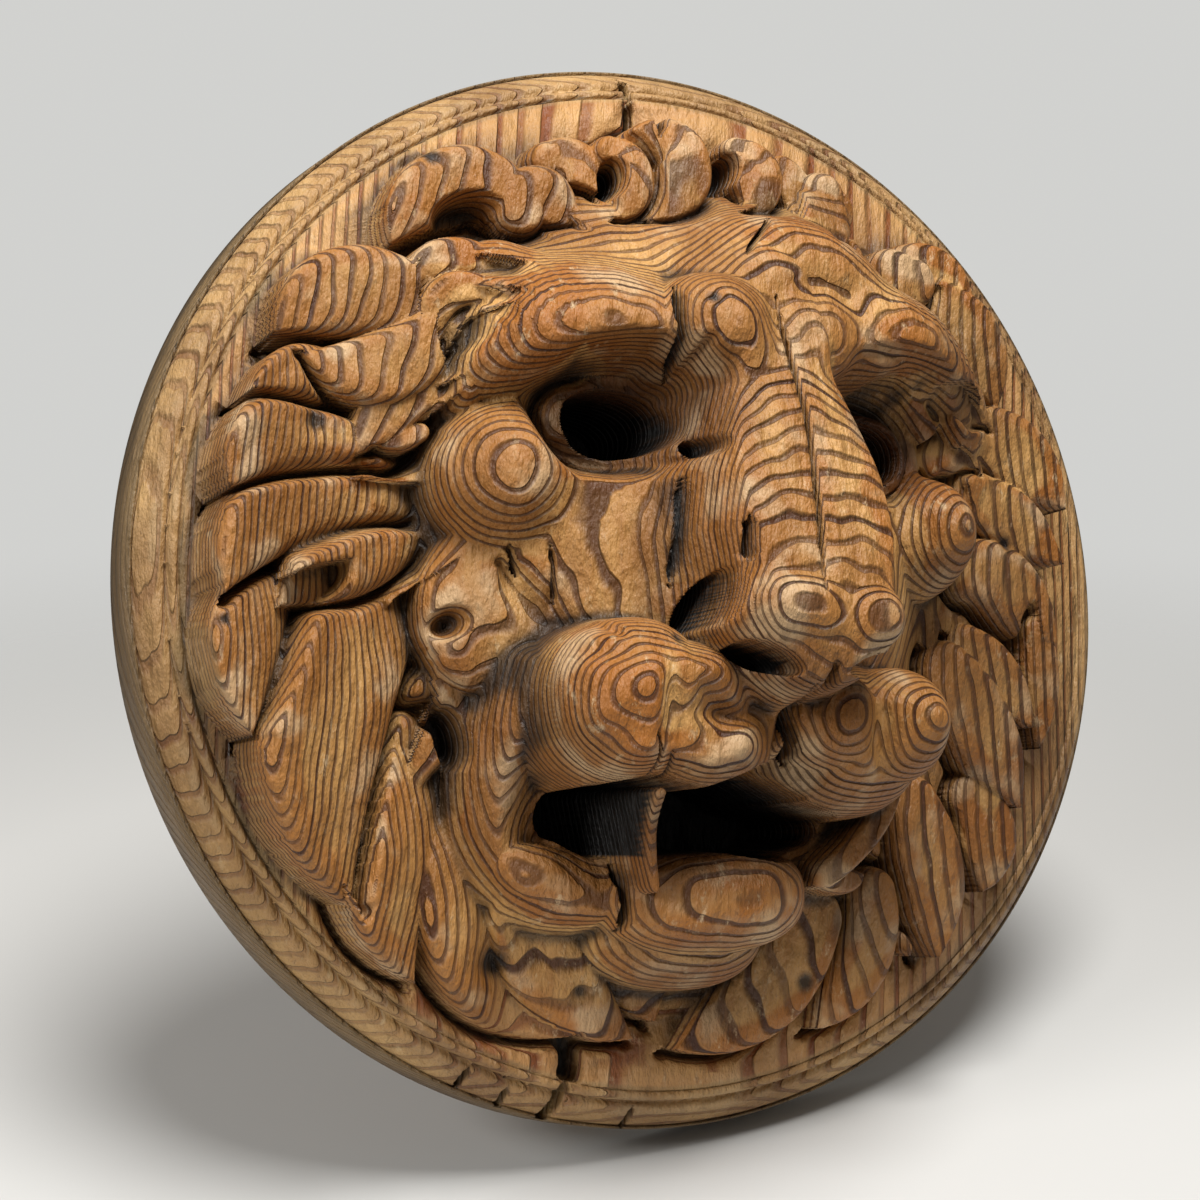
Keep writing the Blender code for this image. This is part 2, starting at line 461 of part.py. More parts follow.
def disc_grid(n, radius):
    """A square grid whose n square rings are bent into circles, evenly spaced out to this radius."""
    i, j = np.meshgrid(np.arange(-n, n + 1), np.arange(-n, n + 1), indexing="ij")
    ring = np.maximum(np.maximum(np.abs(i), np.abs(j)), 1)
    along_x = np.pi / 4 * j / ring * np.sign(i) + np.where(i < 0, np.pi, 0)
    along_z = np.pi / 2 * np.sign(j) - np.pi / 4 * i / ring * np.sign(j)
    angle = np.where(np.abs(i) >= np.abs(j), along_x, along_z)
    reach = radius * np.maximum(np.abs(i), np.abs(j)) / n
    return reach * np.cos(angle), reach * np.sin(angle)


def border(n):
    """Grid places (row, column) round the outermost ring, counter-clockwise from the middle of the +x side."""
    side = np.arange(-n, n)
    i = np.concatenate([np.full(2 * n, n), -side, np.full(2 * n, -n), side])
    j = np.concatenate([side, np.full(2 * n, n), -side, np.full(2 * n, -n)])
    return np.roll(i, -n) + n, np.roll(j, -n) + n


def hoop(inner, outer):
    """Quads between two rings of point numbers of the same length, the first one being the inner."""
    return np.stack([inner, outer, np.roll(outer, -1), np.roll(inner, -1)], -1).tolist()


def plaque_mesh():
    """The closed surface and the points of its carved field. A fine grid over the field meets the
    rim's fewer, straight-ruled segments in one row of fans on the flat ground."""
    profile, height = rim_profile()
    ground = profile[0]
    unit = ground / FIELD
    lift = RELIEF_DEPTH / TIP
    n = RIM_SEGMENTS
    x, z = disc_grid(n, ground - 2 * JOIN_WIDTH)
    carved = head(x / unit, z / unit, -HOLLOW_DEPTH / lift) * lift
    front = np.stack([x, -GROUND_DEPTH - carved, z], -1).reshape(-1, 3)
    index = np.arange(x.size).reshape(x.shape)
    faces = np.stack([index[:-1, :-1], index[1:, :-1], index[1:, 1:], index[:-1, 1:]], -1).reshape(-1, 4).tolist()
    fine = index[border(n)]

    angle = 2 * np.pi * np.arange(n) / n
    radius = np.concatenate([[ground - JOIN_WIDTH], profile, [DIAMETER / 2]])
    depth = -np.concatenate([[GROUND_DEPTH], GROUND_DEPTH + height, [0]])
    rings = np.stack([
        radius[:, None] * np.cos(angle),
        np.repeat(depth[:, None], n, 1),
        radius[:, None] * np.sin(angle),
    ], -1)
    ring_index = len(front) + np.arange(rings.shape[0] * n).reshape(-1, n)

    fan = fine.reshape(n, 8)
    after = np.roll(fine, -8).reshape(n, 8)
    here = ring_index[0]
    ahead = np.roll(here, -1)
    for k in range(4):
        faces += np.stack([fan[:, k], here, fan[:, k + 1]], -1).tolist()
    for k in range(4, 8):
        last = fan[:, k + 1] if k < 7 else after[:, 0]
        faces += np.stack([fan[:, k], ahead, last], -1).tolist()
    faces += np.stack([fan[:, 4], here, ahead], -1).tolist()
    for inner, outer in zip(ring_index[:-1], ring_index[1:]):
        faces += hoop(inner, outer)
    faces.append(ring_index[-1][::-1].tolist())

    mesh = bpy.data.meshes.new("lion_mask")
    mesh.from_pydata(np.concatenate([front, rings.reshape(-1, 3)]).tolist(), [], faces)
    return mesh, len(front)


def weathered_pine():
    material = bpy.data.materials.new("weathered_pine")
    material.use_nodes = True
    shader = material.node_tree.nodes["Principled BSDF"]
    shader.inputs["Base Color"].default_value = (0.42, 0.25, 0.11, 1.0)
    shader.inputs["Roughness"].default_value = 0.62
    shader.inputs["Metallic"].default_value = 0.0
    return material


def main():
    for thing in list(bpy.data.objects):
        bpy.data.objects.remove(thing, do_unlink=True)
    mesh, carved_points = plaque_mesh()
    plaque = bpy.data.objects.new("lion_mask", mesh)
    bpy.context.scene.collection.objects.link(plaque)
    mesh.materials.append(weathered_pine())
    field = plaque.vertex_groups.new(name="carved field")
    field.add(list(range(carved_points)), 1.0, "REPLACE")
    triangles = sum(len(face.vertices) - 2 for face in mesh.polygons)
    thin = plaque.modifiers.new("fewer triangles where it is flat", "DECIMATE")
    thin.vertex_group = field.name
    thin.ratio = TRIANGLES / triangles
    mesh.shade_smooth()
    mesh.set_sharp_from_angle(angle=math.radians(40))


if __name__ == "__main__":
    main()
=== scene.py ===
import math

import bpy
import numpy as np
from mathutils import Matrix, Vector


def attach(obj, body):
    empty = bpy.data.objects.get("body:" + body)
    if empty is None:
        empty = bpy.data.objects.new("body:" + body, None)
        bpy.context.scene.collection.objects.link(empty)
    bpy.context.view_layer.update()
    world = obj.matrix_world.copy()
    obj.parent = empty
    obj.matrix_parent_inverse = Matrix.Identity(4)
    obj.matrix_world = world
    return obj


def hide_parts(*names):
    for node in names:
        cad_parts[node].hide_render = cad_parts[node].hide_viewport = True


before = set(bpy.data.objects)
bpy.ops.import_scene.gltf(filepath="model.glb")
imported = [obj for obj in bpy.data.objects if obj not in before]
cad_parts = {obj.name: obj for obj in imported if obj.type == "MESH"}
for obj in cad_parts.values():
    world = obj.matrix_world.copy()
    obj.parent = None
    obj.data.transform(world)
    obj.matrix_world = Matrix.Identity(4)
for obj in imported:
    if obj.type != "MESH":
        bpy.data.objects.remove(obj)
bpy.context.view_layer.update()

# The plaque in metres, as the frame has it, with the shares that round its moulding; the last two are
# counts of the mesh
plaque = {
    "radius": 0.150,
    "edgeDepth": 0.0160,
    "groundDepth": 0.0250,
    "reliefDepth": 0.0880,
    "edgeLean": 0.0012,
    "filletWidth": 0.0008,
    "ovoloWidth": 0.0072,
    "ovoloSink": 0.0036,
    "ovoloPower": 2.2,
    "ovoloCrown": 0.25,
    "crownShare": 1.6,
    "beadWidth": 0.0033,
    "beadSink": 0.0018,
    "beadShare": 0.42,
    "grooveDepth": 0.0012,
    "grooveFrom": 0.9,
    "hollowDepth": 0.0090,
    "gridRings": 270,
    "triangles": 190000,
}
# The carving is drawn on a disc of radius 1 whose ground reaches field, with the nose at height tip
field = 0.915
tip = 0.585

# Cross-section of the head from chin to hairline: place, height on the middle line, half width; then
# how far its middle lies to the left, its height at the sides, its roundness, the fall outside and blend
skull = {
    "z": [-0.80, -0.74, -0.62, -0.50, -0.38, -0.25, -0.10, 0.05, 0.20, 0.33, 0.45, 0.56, 0.64, 0.70, 0.78],
    "top": [-0.05, 0.03, 0.12, 0.19, 0.26, 0.31, 0.33, 0.335, 0.325, 0.33, 0.30, 0.24, 0.17, 0.09, -0.02],
    "half": [0.15, 0.22, 0.30, 0.36, 0.42, 0.44, 0.48, 0.52, 0.52, 0.50, 0.46, 0.40, 0.34, 0.30, 0.26],
    "shift": 0.01,
    "foot": 0.05,
    "squareness": 2.1,
    "fullness": 0.7,
    "outsideFall": 0.6,
    "blend": 0.04,
}
# The block under the mane: height, centre, radius of its foot, width and roundness of its slope
mound = {"height": 0.12, "z": 0.01, "foot": 0.80, "width": 0.30, "fullness": 0.8}

# Each lock's line from root to tip as (x, z, height), and its half width
mane = {
    "right_top": ([(0.45, 0.639, 0.11), (0.53, 0.649, 0.11), (0.60, 0.57, 0.10)], 0.061),
    "right_crest": ([(0.523, 0.566, 0.12), (0.622, 0.507, 0.12), (0.658, 0.377, 0.09)], 0.081),
    "right_upper": ([(0.612, 0.32, 0.12), (0.725, 0.315, 0.10), (0.828, 0.197, 0.085)], 0.081),
    "right_high": ([(0.568, 0.187, 0.14), (0.698, 0.183, 0.11), (0.815, 0.084, 0.095)], 0.068),
    "right_sweep": ([(0.568, 0.049, 0.14), (0.691, 0.053, 0.12), (0.795, -0.077, 0.095)], 0.081),
    "right_edge": ([(0.755, -0.047, 0.095), (0.785, -0.148, 0.095), (0.764, -0.282, 0.07)], 0.041),
    "right_mid": ([(0.572, -0.095, 0.12), (0.658, -0.134, 0.11), (0.735, -0.243, 0.095)], 0.061),
    "right_broad": ([(0.519, -0.147, 0.14), (0.622, -0.244, 0.12), (0.704, -0.399, 0.095)], 0.081),
    "right_low_outer": ([(0.607, -0.38, 0.09), (0.674, -0.46, 0.095), (0.628, -0.56, 0.07)], 0.068),
    "right_low_inner": ([(0.387, -0.441, 0.10), (0.434, -0.55, 0.09), (0.466, -0.682, 0.07)], 0.054),
    "right_low": ([(0.454, -0.402, 0.12), (0.513, -0.52, 0.12), (0.52, -0.681, 0.085)], 0.081),
    "right_beard_side": ([(0.370, -0.560, 0.11), (0.400, -0.700, 0.09), (0.275, -0.812, 0.050)], 0.062),
    "beard_right": ([(0.250, -0.610, 0.11), (0.190, -0.765, 0.10), (-0.010, -0.842, 0.045)], 0.078),
    "beard_middle": ([(-0.130, -0.660, 0.07), (-0.075, -0.730, 0.06), (-0.045, -0.795, 0.035)], 0.060),
    "beard_inner": ([(-0.330, -0.600, 0.13), (-0.260, -0.740, 0.11), (-0.090, -0.822, 0.045)], 0.070),
    "beard_outer": ([(-0.420, -0.420, 0.06), (-0.450, -0.590, 0.15), (-0.410, -0.745, 0.12),
                     (-0.195, -0.815, 0.050)], 0.088),
    "left_wisp": ([(-0.507, -0.152, 0.10), (-0.506, -0.223, 0.11), (-0.465, -0.30, 0.10)], 0.047),
    "left_low": ([(-0.520, -0.330, 0.08), (-0.570, -0.481, 0.15), (-0.590, -0.600, 0.12),
                  (-0.500, -0.722, 0.085)], 0.092),
    "left_broad": ([(-0.545, -0.060, 0.09), (-0.690, -0.170, 0.16), (-0.760, -0.380, 0.14),
                    (-0.625, -0.600, 0.085)], 0.118),
    "left_hook": ([(-0.500, 0.105, 0.11), (-0.640, 0.040, 0.14), (-0.780, -0.110, 0.14)], 0.092),
    "left_drop": ([(-0.735, -0.045, 0.05), (-0.870, -0.080, 0.10), (-0.820, -0.325, 0.095)], 0.070),
    "left_fan": ([(-0.560, 0.120, 0.11), (-0.810, 0.140, 0.11), (-0.880, -0.100, 0.085)], 0.085),
    "left_sweep": ([(-0.600, 0.200, 0.13), (-0.800, 0.250, 0.11), (-0.880, 0.070, 0.085)], 0.078),
    "left_high": ([(-0.620, 0.265, 0.10), (-0.745, 0.330, 0.10), (-0.845, 0.240, 0.085)], 0.052),
}
# The same for the curls that lie on the head
crown = {
    "leaf_upper": ([(-0.560, 0.425, 0.15), (-0.690, 0.475, 0.15), (-0.800, 0.350, 0.12)], 0.080),
    "leaf_lower": ([(-0.530, 0.375, 0.17), (-0.600, 0.260, 0.17), (-0.755, 0.318, 0.12)], 0.066),
    "ear_leaf": ([(-0.545, 0.272, 0.15), (-0.61, 0.246, 0.14), (-0.65, 0.159, 0.11)], 0.047),
    "ear_bud": ([(-0.543, 0.204, 0.13), (-0.582, 0.189, 0.13), (-0.615, 0.178, 0.11)], 0.024),
    "right_temple": ([(0.45, 0.599, 0.14), (0.385, 0.596, 0.15), (0.334, 0.573, 0.13)], 0.068),
    "right_brow_curl": ([(0.453, 0.372, 0.18), (0.538, 0.394, 0.17), (0.617, 0.339, 0.12)], 0.061),
    "right_eye_curl": ([(0.453, 0.246, 0.18), (0.511, 0.299, 0.18), (0.583, 0.246, 0.14)], 0.047),
    "right_bud": ([(0.264, 0.638, 0.14), (0.307, 0.635, 0.15), (0.303, 0.589, 0.14)], 0.041),
    "crown_back": ([(0.278, 0.762, 0.10), (0.318, 0.742, 0.10), (0.324, 0.696, 0.09)], 0.027),
    "crown_ball": ([(0.238, 0.733, 0.15), (0.228, 0.665, 0.20), (0.17, 0.612, 0.20)], 0.068),
    "crown_ridge": ([(0.161, 0.78, 0.13), (0.20, 0.746, 0.14), (0.171, 0.681, 0.13)], 0.041),
    "crown_hook": ([(0.052, 0.791, 0.15), (0.133, 0.779, 0.18), (0.108, 0.678, 0.19),
                    (0.022, 0.647, 0.17)], 0.038),
    "crown_core": ([(0.047, 0.758, 0.16), (0.084, 0.74, 0.18), (0.051, 0.686, 0.17)], 0.041),
    "crown_wave": ([(-0.134, 0.772, 0.15), (-0.056, 0.814, 0.19), (-0.033, 0.674, 0.20),
                    (-0.143, 0.627, 0.17)], 0.057),
    "crown_ear": ([(-0.193, 0.76, 0.13), (-0.143, 0.754, 0.17), (-0.148, 0.643, 0.18),
                   (-0.202, 0.62, 0.15)], 0.041),
    "crown_left": ([(-0.294, 0.736, 0.09), (-0.233, 0.748, 0.11), (-0.218, 0.675, 0.12)], 0.054),
    "left_crown_arch": ([(-0.381, 0.646, 0.12), (-0.439, 0.711, 0.13), (-0.56, 0.649, 0.11),
                         (-0.597, 0.533, 0.09)], 0.065),
    "left_crown_tip": ([(-0.361, 0.622, 0.13), (-0.341, 0.691, 0.13), (-0.263, 0.606, 0.12)], 0.061),
    "temple_outer": ([(-0.435, 0.506, 0.17), (-0.533, 0.53, 0.17), (-0.569, 0.478, 0.15),
                      (-0.562, 0.415, 0.13)], 0.038),
    "temple_inner": ([(-0.457, 0.443, 0.20), (-0.521, 0.465, 0.19), (-0.552, 0.413, 0.17),
                      (-0.525, 0.341, 0.15)], 0.035),
    "temple_core": ([(-0.468, 0.401, 0.18), (-0.494, 0.394, 0.17), (-0.512, 0.334, 0.14)], 0.024),
}

# What all leaves share. A leaf is widest at a share of its length, and its edge turns down by a power
# of q. On the left half, from leftFrom to leftTo on, it rises by rise times its distance to the left of
# middle, plus tilt times the distance from its own middle, which counts up to tiltReach. cleft is the
# depth of the furrow along its lower side.
leaves = {
    "reach": 1.3,
    "widest": 0.4,
    "leastTaper": 0.02,
    "edgePower": 6,
    "outsideFall": 3,
    "rise": 0.24,
    "middle": 0.64,
    "tilt": 0.7,
    "tiltReach": 0.12,
    "leftFrom": 0.15,
    "leftTo": 0.35,
    "cleft": 0.065,
    "crownCleft": 0.5,
    "cleftWidth": 0.014,
}

# Bosses: centre, half sizes, top, height at the edge, turn in degrees, blend, squareness
faceBosses = {
    "left_side": ((-0.420, -0.090), (0.115, 0.150), 0.180, 0.11, 0, 0.08, 2.0),
    "left_temple": ((-0.400, 0.430), (0.110, 0.130), 0.225, 0.12, 20, 0.08, 2.0),
    "left_cheek": ((-0.408, 0.132), (0.125, 0.135), 0.300, 0.11, 0, 0.06, 2.0),
    "right_cheek": ((0.420, 0.095), (0.110, 0.125), 0.300, 0.10, 0, 0.05, 2.0),
    "left_frown": ((-0.112, 0.374), (0.100, 0.110), 0.455, 0.31, 0, 0.06, 2.2),
    "right_frown": ((0.085, 0.385), (0.105, 0.110), 0.415, 0.28, 0, 0.06, 2.6),
}
# Brows: line with heights, reach above and below it, drop at that reach
brows = {
    "left": ([(-0.48, 0.28, 0.20), (-0.39, 0.37, 0.40), (-0.26, 0.41, 0.43), (-0.05, 0.31, 0.34)],
             0.17, 0.085, 0.20),
    "right": ([(0.53, 0.24, 0.16), (0.45, 0.42, 0.35), (0.27, 0.46, 0.42), (0.06, 0.34, 0.36)],
              0.16, 0.060, 0.18),
    "right_high": ([(0.24, 0.44, 0.34), (0.15, 0.54, 0.37), (0.03, 0.52, 0.37), (-0.04, 0.44, 0.38)],
                   0.12, 0.10, 0.10),
}
browBlend = 0.05
# Soft swellings: centre, half sizes, added height
swellings = {
    "right_jaw": ((0.235, -0.03), (0.10, 0.10), 0.035),
    "forehead": ((0.03, 0.60), (0.12, 0.05), 0.025),
}
# Both orbits: centre, half sizes, turn, squareness, depth, and the ovals where the slope begins and ends
orbit = {
    "x": 0.245,
    "z": 0.240,
    "half": (0.150, 0.115),
    "turn": 4,
    "squareness": 2.2,
    "depth": 0.13,
    "inner": 0.5,
    "outer": 1.12,
}
# Eyeballs stand in their orbits once these are cut
eyeBosses = {
    "left_eyeball": ((-0.232, 0.232), (0.118, 0.082), 0.225, 0.19, -4, 0.06, 2.2),
    "right_eyeball": ((0.267, 0.225), (0.110, 0.080), 0.225, 0.19, 4, 0.06, 2.2),
}
muzzleBosses = {
    "left_nose_wing": ((-0.068, -0.112), (0.092, 0.082), 0.560, 0.44, -8, 0.06, 2.2),
    "right_nose_wing": ((0.090, -0.118), (0.072, 0.070), 0.560, 0.44, 6, 0.06, 2.2),
    "left_nose_tip": ((-0.042, -0.110), (0.085, 0.055), 0.585, 0.525, 0, 0.03, 2.2),
    "right_nose_tip": ((0.086, -0.118), (0.064, 0.050), 0.582, 0.525, 0, 0.03, 2.2),
    "lip_middle": ((0.0, -0.24), (0.11, 0.12), 0.430, 0.20, 0, 0.02, 2.2),
    "left_lip_base": ((-0.205, -0.264), (0.185, 0.150), 0.420, 0.24, 0, 0.01, 2.4),
    "left_lip_pad": ((-0.252, -0.250), (0.130, 0.132), 0.468, 0.34, 8, 0.04, 2.2),
    "left_lip_lobe": ((-0.115, -0.312), (0.120, 0.095), 0.448, 0.34, -12, 0.06, 2.2),
    "left_lip_rise": ((-0.130, -0.220), (0.080, 0.055), 0.460, 0.36, -35, 0.05, 2.2),
    "right_lip_base": ((0.178, -0.297), (0.178, 0.140), 0.405, 0.22, 0, 0.01, 2.4),
    "right_lip_pad": ((0.262, -0.272), (0.095, 0.100), 0.440, 0.32, 0, 0.04, 2.2),
    "right_lip_lobe": ((0.105, -0.270), (0.095, 0.085), 0.446, 0.32, 20, 0.04, 2.2),
}
chinBosses = {
    "chin_skirt": ((-0.045, -0.610), (0.178, 0.128), 0.240, 0.06, 0, 0.03, 2.4),
    "chin": ((-0.030, -0.572), (0.188, 0.096), 0.304, 0.19, 3, 0.03, 2.4),
    "lip_curl": ((-0.300, -0.540), (0.100, 0.050), 0.190, 0.13, -12, 0.05, 2.2),
}

# Folds: line, half width, thickness at the edge, blend, width at the root, bluntness of the tip
folds = {
    "right_brow_lid": ([(0.19, 0.36, 0.36), (0.27, 0.46, 0.35), (0.42, 0.42, 0.27), (0.42, 0.27, 0.20)],
                       0.055, 0.06, 0.02, 0.9, 8),
}
lipFolds = {
    "right_lip_fold": ([(0.33, -0.36, 0.24), (0.30, -0.47, 0.24), (0.16, -0.55, 0.24)],
                       0.032, 0.10, 0.03, 0.8, 8),
    "chin_fin": ([(0.19, -0.53, 0.22), (0.27, -0.555, 0.20), (0.31, -0.525, 0.16)],
                 0.026, 0.05, 0.01, 0.8, 3),
}
# Lip at the left corner: the line of its crest, reach inwards and outwards, drop
lip = ([(-0.360, -0.20, 0.29), (-0.415, -0.33, 0.24), (-0.445, -0.53, 0.09), (-0.360, -0.62, 0.15),
        (-0.200, -0.580, 0.22)], 0.11, 0.055, 0.13)
# The strut between the lips, a fold of even width
strut = ([(-0.212, -0.405, 0.390), (-0.200, -0.47, 0.315), (-0.178, -0.565, 0.310)],
         0.014, 0.25, 0.03, 1.0, 20)

# Lumps and dents of the lip pads: centre, half sizes, added height
lumps = {
    "ring": ((-0.300, -0.235), (0.045, 0.045), 0.014),
    "high": ((-0.185, -0.205), (0.050, 0.035), 0.024),
    "crease": ((-0.232, -0.265), (0.022, 0.060), -0.020),
    "low_left": ((-0.262, -0.345), (0.055, 0.026), 0.020),
    "low_mid": ((-0.160, -0.360), (0.046, 0.028), 0.020),
    "low_right": ((-0.090, -0.330), (0.035, 0.030), 0.012),
    "dent": ((-0.130, -0.280), (0.060, 0.018), -0.014),
    "outer": ((-0.352, -0.290), (0.026, 0.050), 0.018),
    "outer_dent": ((-0.335, -0.185), (0.050, 0.020), -0.014),
    "right_ring": ((0.295, -0.262), (0.040, 0.040), 0.014),
    "right_dent": ((0.200, -0.300), (0.026, 0.060), -0.020),
    "right_low": ((0.140, -0.345), (0.050, 0.035), 0.012),
    "right_high": ((0.160, -0.215), (0.045, 0.035), 0.014),
}

# The nose against the height z: half width of its broad top, half width at its foot. Its flanks fall by
# fall, the left one wider by leftSlope, from halfTurn right of the middle to halfTurn left of it
nose = {
    "z": [-0.16, -0.05, 0.02, 0.12, 0.20, 0.30, 0.42],
    "flat": [0.105, 0.112, 0.125, 0.125, 0.112, 0.090, 0.065],
    "foot": [0.150, 0.160, 0.180, 0.180, 0.165, 0.140, 0.120],
    "fall": 0.20,
    "leftSlope": 0.045,
    "halfTurn": 0.03,
    "crown": 0.020,
    "blend": 0.08,
    "line": [(0.0, 0.46, 0.36), (0.0, 0.28, 0.455), (0.012, 0.09, 0.545), (0.015, -0.12, 0.572)],
}

# Pits: centre, half sizes, turn in degrees, width of the slope, squareness
hollows = {
    "left_eye": ((-0.230, 0.232), (0.086, 0.056), -4, 0.10, 2.2),
    "right_eye": ((0.278, 0.228), (0.080, 0.055), 4, 0.10, 2.2),
}
# The same with the height of the floor
smallPits = {
    "tear_hole": ((-0.142, 0.170), (0.015, 0.014), 0, 0.4, 0.18),
    "left_nostril": ((-0.085, -0.190), (0.042, 0.015), -25, 0.3, 0.18),
    "left_nostril_slit": ((-0.150, -0.095), (0.013, 0.045), -18, 0.3, 0.20),
    "right_nostril": ((0.115, -0.190), (0.060, 0.014), 14, 0.3, 0.18),
    "left_gap": ((-0.498, -0.125), (0.026, 0.020), 30, 0.7, 0.11),
    "low_gap": ((-0.469, -0.310), (0.020, 0.046), 15, 0.4, 0.01),
    "crown_gap": ((-0.464, 0.603), (0.050, 0.030), 20, 0.5, 0.03),
    "curl_gap": ((-0.196, 0.702), (0.018, 0.032), -10, 0.4, 0.02),
    "hook_gap": ((0.023, 0.741), (0.018, 0.034), -20, 0.4, 0.02),
}
# Drying cracks: line, half width, depth
cracks = {
    "nose_ridge": ([(-0.004, 0.445), (0.004, 0.272), (0.007, 0.07), (-0.013, -0.08)], 0.0045, 0.05),
    "left_frown": ([(-0.186, 0.441), (-0.200, 0.360), (-0.160, 0.303)], 0.0055, 0.06),
    "nose_flank": ([(-0.168, 0.120), (-0.174, 0.034), (-0.176, -0.062)], 0.0040, 0.020),
    "nose_side": ([(-0.121, 0.037), (-0.123, 0.001), (-0.119, -0.036)], 0.0050, 0.05),
    "forehead": ([(0.030, 0.613), (-0.046, 0.520)], 0.0030, 0.03),
    "philtrum": ([(-0.011, -0.232), (0.026, -0.278), (0.045, -0.347)], 0.0060, 0.07),
    "chin": ([(-0.206, -0.522), (-0.199, -0.58), (-0.196, -0.63)], 0.0060, 0.06),
    "pad": ([(-0.255, -0.306), (-0.232, -0.385)], 0.0022, 0.02),
    "pad_low": ([(-0.222, -0.340), (-0.200, -0.385)], 0.0022, 0.02),
    "cheek": ([(-0.414, 0.010), (-0.392, -0.040)], 0.0030, 0.03),
    "jaw": ([(-0.349, 0.010), (-0.334, -0.088)], 0.0030, 0.03),
    "ground": ([(-0.104, 0.912), (-0.100, 0.860), (-0.112, 0.790)], 0.0075, 0.06),
    "burnt": ([(-0.197, -0.815), (-0.180, -0.861), (-0.200, -0.905)], 0.0170, 0.07),
}
# The same where they run across the rim
rimCracks = {
    "top": ([(-0.104, 0.905), (-0.100, 0.930), (-0.109, 0.958)], 0.0070, 0.05),
    "bottom": ([(-0.196, -0.890), (-0.203, -0.925), (-0.226, -0.985)], 0.0085, 0.06),
    "left": ([(-0.375, -0.870), (-0.385, -0.905)], 0.0045, 0.03),
    "left_low": ([(-0.300, -0.905), (-0.305, -0.945)], 0.0045, 0.03),
    "right": ([(-0.060, -0.945), (-0.065, -0.985)], 0.0040, 0.03),
}
# Reddish stains on the ground: centre, half sizes; and the ovals between which they fade
stains = {
    "bottom": ((-0.085, -0.860), (0.040, 0.050)),
    "low_left": ((-0.466, -0.772), (0.020, 0.040)),
    "low": ((-0.350, -0.835), (0.020, 0.024)),
    "right": ((0.090, -0.885), (0.012, 0.030)),
    "left": ((-0.800, -0.400), (0.010, 0.060)),
    "crown": ((-0.640, 0.600), (0.012, 0.050)),
}
stainFade = (0.75, 1.15)
stainSquareness = 5
# Places painted darker as shade, where it falls: centre, half sizes, strength; and the ovals between which
# they fade
paintedShade = {
    "left_orbit": ((-0.225, 0.235), (0.150, 0.105), 0.95),
    "right_orbit": ((0.265, 0.235), (0.170, 0.120), 0.95),
    "right_mane": ((0.640, -0.300), (0.330, 0.560), 0.45),
    "right_jaw": ((0.400, -0.520), (0.220, 0.240), 0.45),
    "right_temple": ((0.520, 0.420), (0.200, 0.200), 0.45),
    "mouth": ((-0.040, -0.470), (0.330, 0.130), 0.50),
    "nostrils": ((0.000, -0.205), (0.150, 0.050), 0.60),
    "jaw_left": ((-0.420, -0.380), (0.100, 0.220), 0.35),
    "crown": ((0.100, 0.690), (0.420, 0.090), 0.25),
    "under_chin": ((0.020, -0.730), (0.260, 0.110), 0.40),
}
paintedShadeFade = (0.35, 1.25)
# Knots: centre and radius of the dark dimple; its depth over the radius, its darkness and where it fades
knots = {
    "beard": ((-0.359, -0.688), 0.030),
    "beard_low": ((-0.208, -0.737), 0.014),
    "right_beard": ((0.229, -0.723), 0.022),
    "ground": ((-0.529, 0.698), 0.018),
    "sweep": ((-0.729, 0.205), 0.022),
    "edge": ((-0.876, -0.14), 0.012),
    "right": ((0.665, 0.109), 0.018),
    "right_low": ((0.699, -0.536), 0.020),
    "peg": ((-0.148, 0.412), 0.013),
    "notch": ((-0.205, -0.157), 0.012),
}
knotDimple = 0.5
knotDark = 0.9
knotFade = (0.4, 1.2)
# The open mouth: a line through it, left corner to right corner, and its half width there
mouth = {
    "line": [(-0.285, -0.435), (-0.228, -0.442), (-0.13, -0.450), (-0.02, -0.424), (0.09, -0.458),
             (0.170, -0.455)],
    "half": [0.042, 0.062, 0.050, 0.068, 0.050, 0.024],
    "slope": (0.88, 1.12),
    "seen": 1.04,
}
# Furrows: line, half width, depth
furrows = {
    "inner_orbit": ([(-0.150, 0.34), (-0.150, 0.28), (-0.142, 0.17)], 0.026, 0.040),
    "under_lid": ([(-0.335, 0.195), (-0.24, 0.138), (-0.150, 0.152)], 0.020, 0.025),
    "cheek_crease": ([(-0.42, -0.02), (-0.37, -0.09), (-0.30, -0.150)], 0.030, 0.025),
    "lip_cleft": ([(0.015, -0.20), (0.01, -0.30), (-0.010, -0.38)], 0.014, 0.05),
}
# Heights over which a cut place is painted black as shade, below the uncut form and below the strut's
# crest
caveDepth = (0.02, 0.10)
strutDepth = (0.006, 0.020)


# 0 below low, 1 above high, 3t^2 - 2t^3 between
def ease(low, high, value):
    t = np.clip((value - low) / (high - low), 0, 1)
    return t * t * (3 - 2 * t)


# the larger of two heights, plus (blend - gap)^2 / (4 blend) where they are closer than blend
def join(a, b, blend):
    return np.maximum(a, b) + np.clip(blend - np.abs(a - b), 0, None) ** 2 / (4 * blend)


# Bezier curve: each row of control points gives way to the points at share t between its neighbours
def curve(controls):
    t = np.linspace(0, 1, 25)[:, None, None]
    rows = np.repeat(np.array(controls, float)[None], len(t), 0)
    for _ in range(len(controls) - 1):
        rows = rows[:, :-1] * (1 - t) + rows[:, 1:] * t
    return rows[:, 0]


# the same through points that have no height
def flatCurve(controls):
    return curve([point + (0.0,) for point in controls])


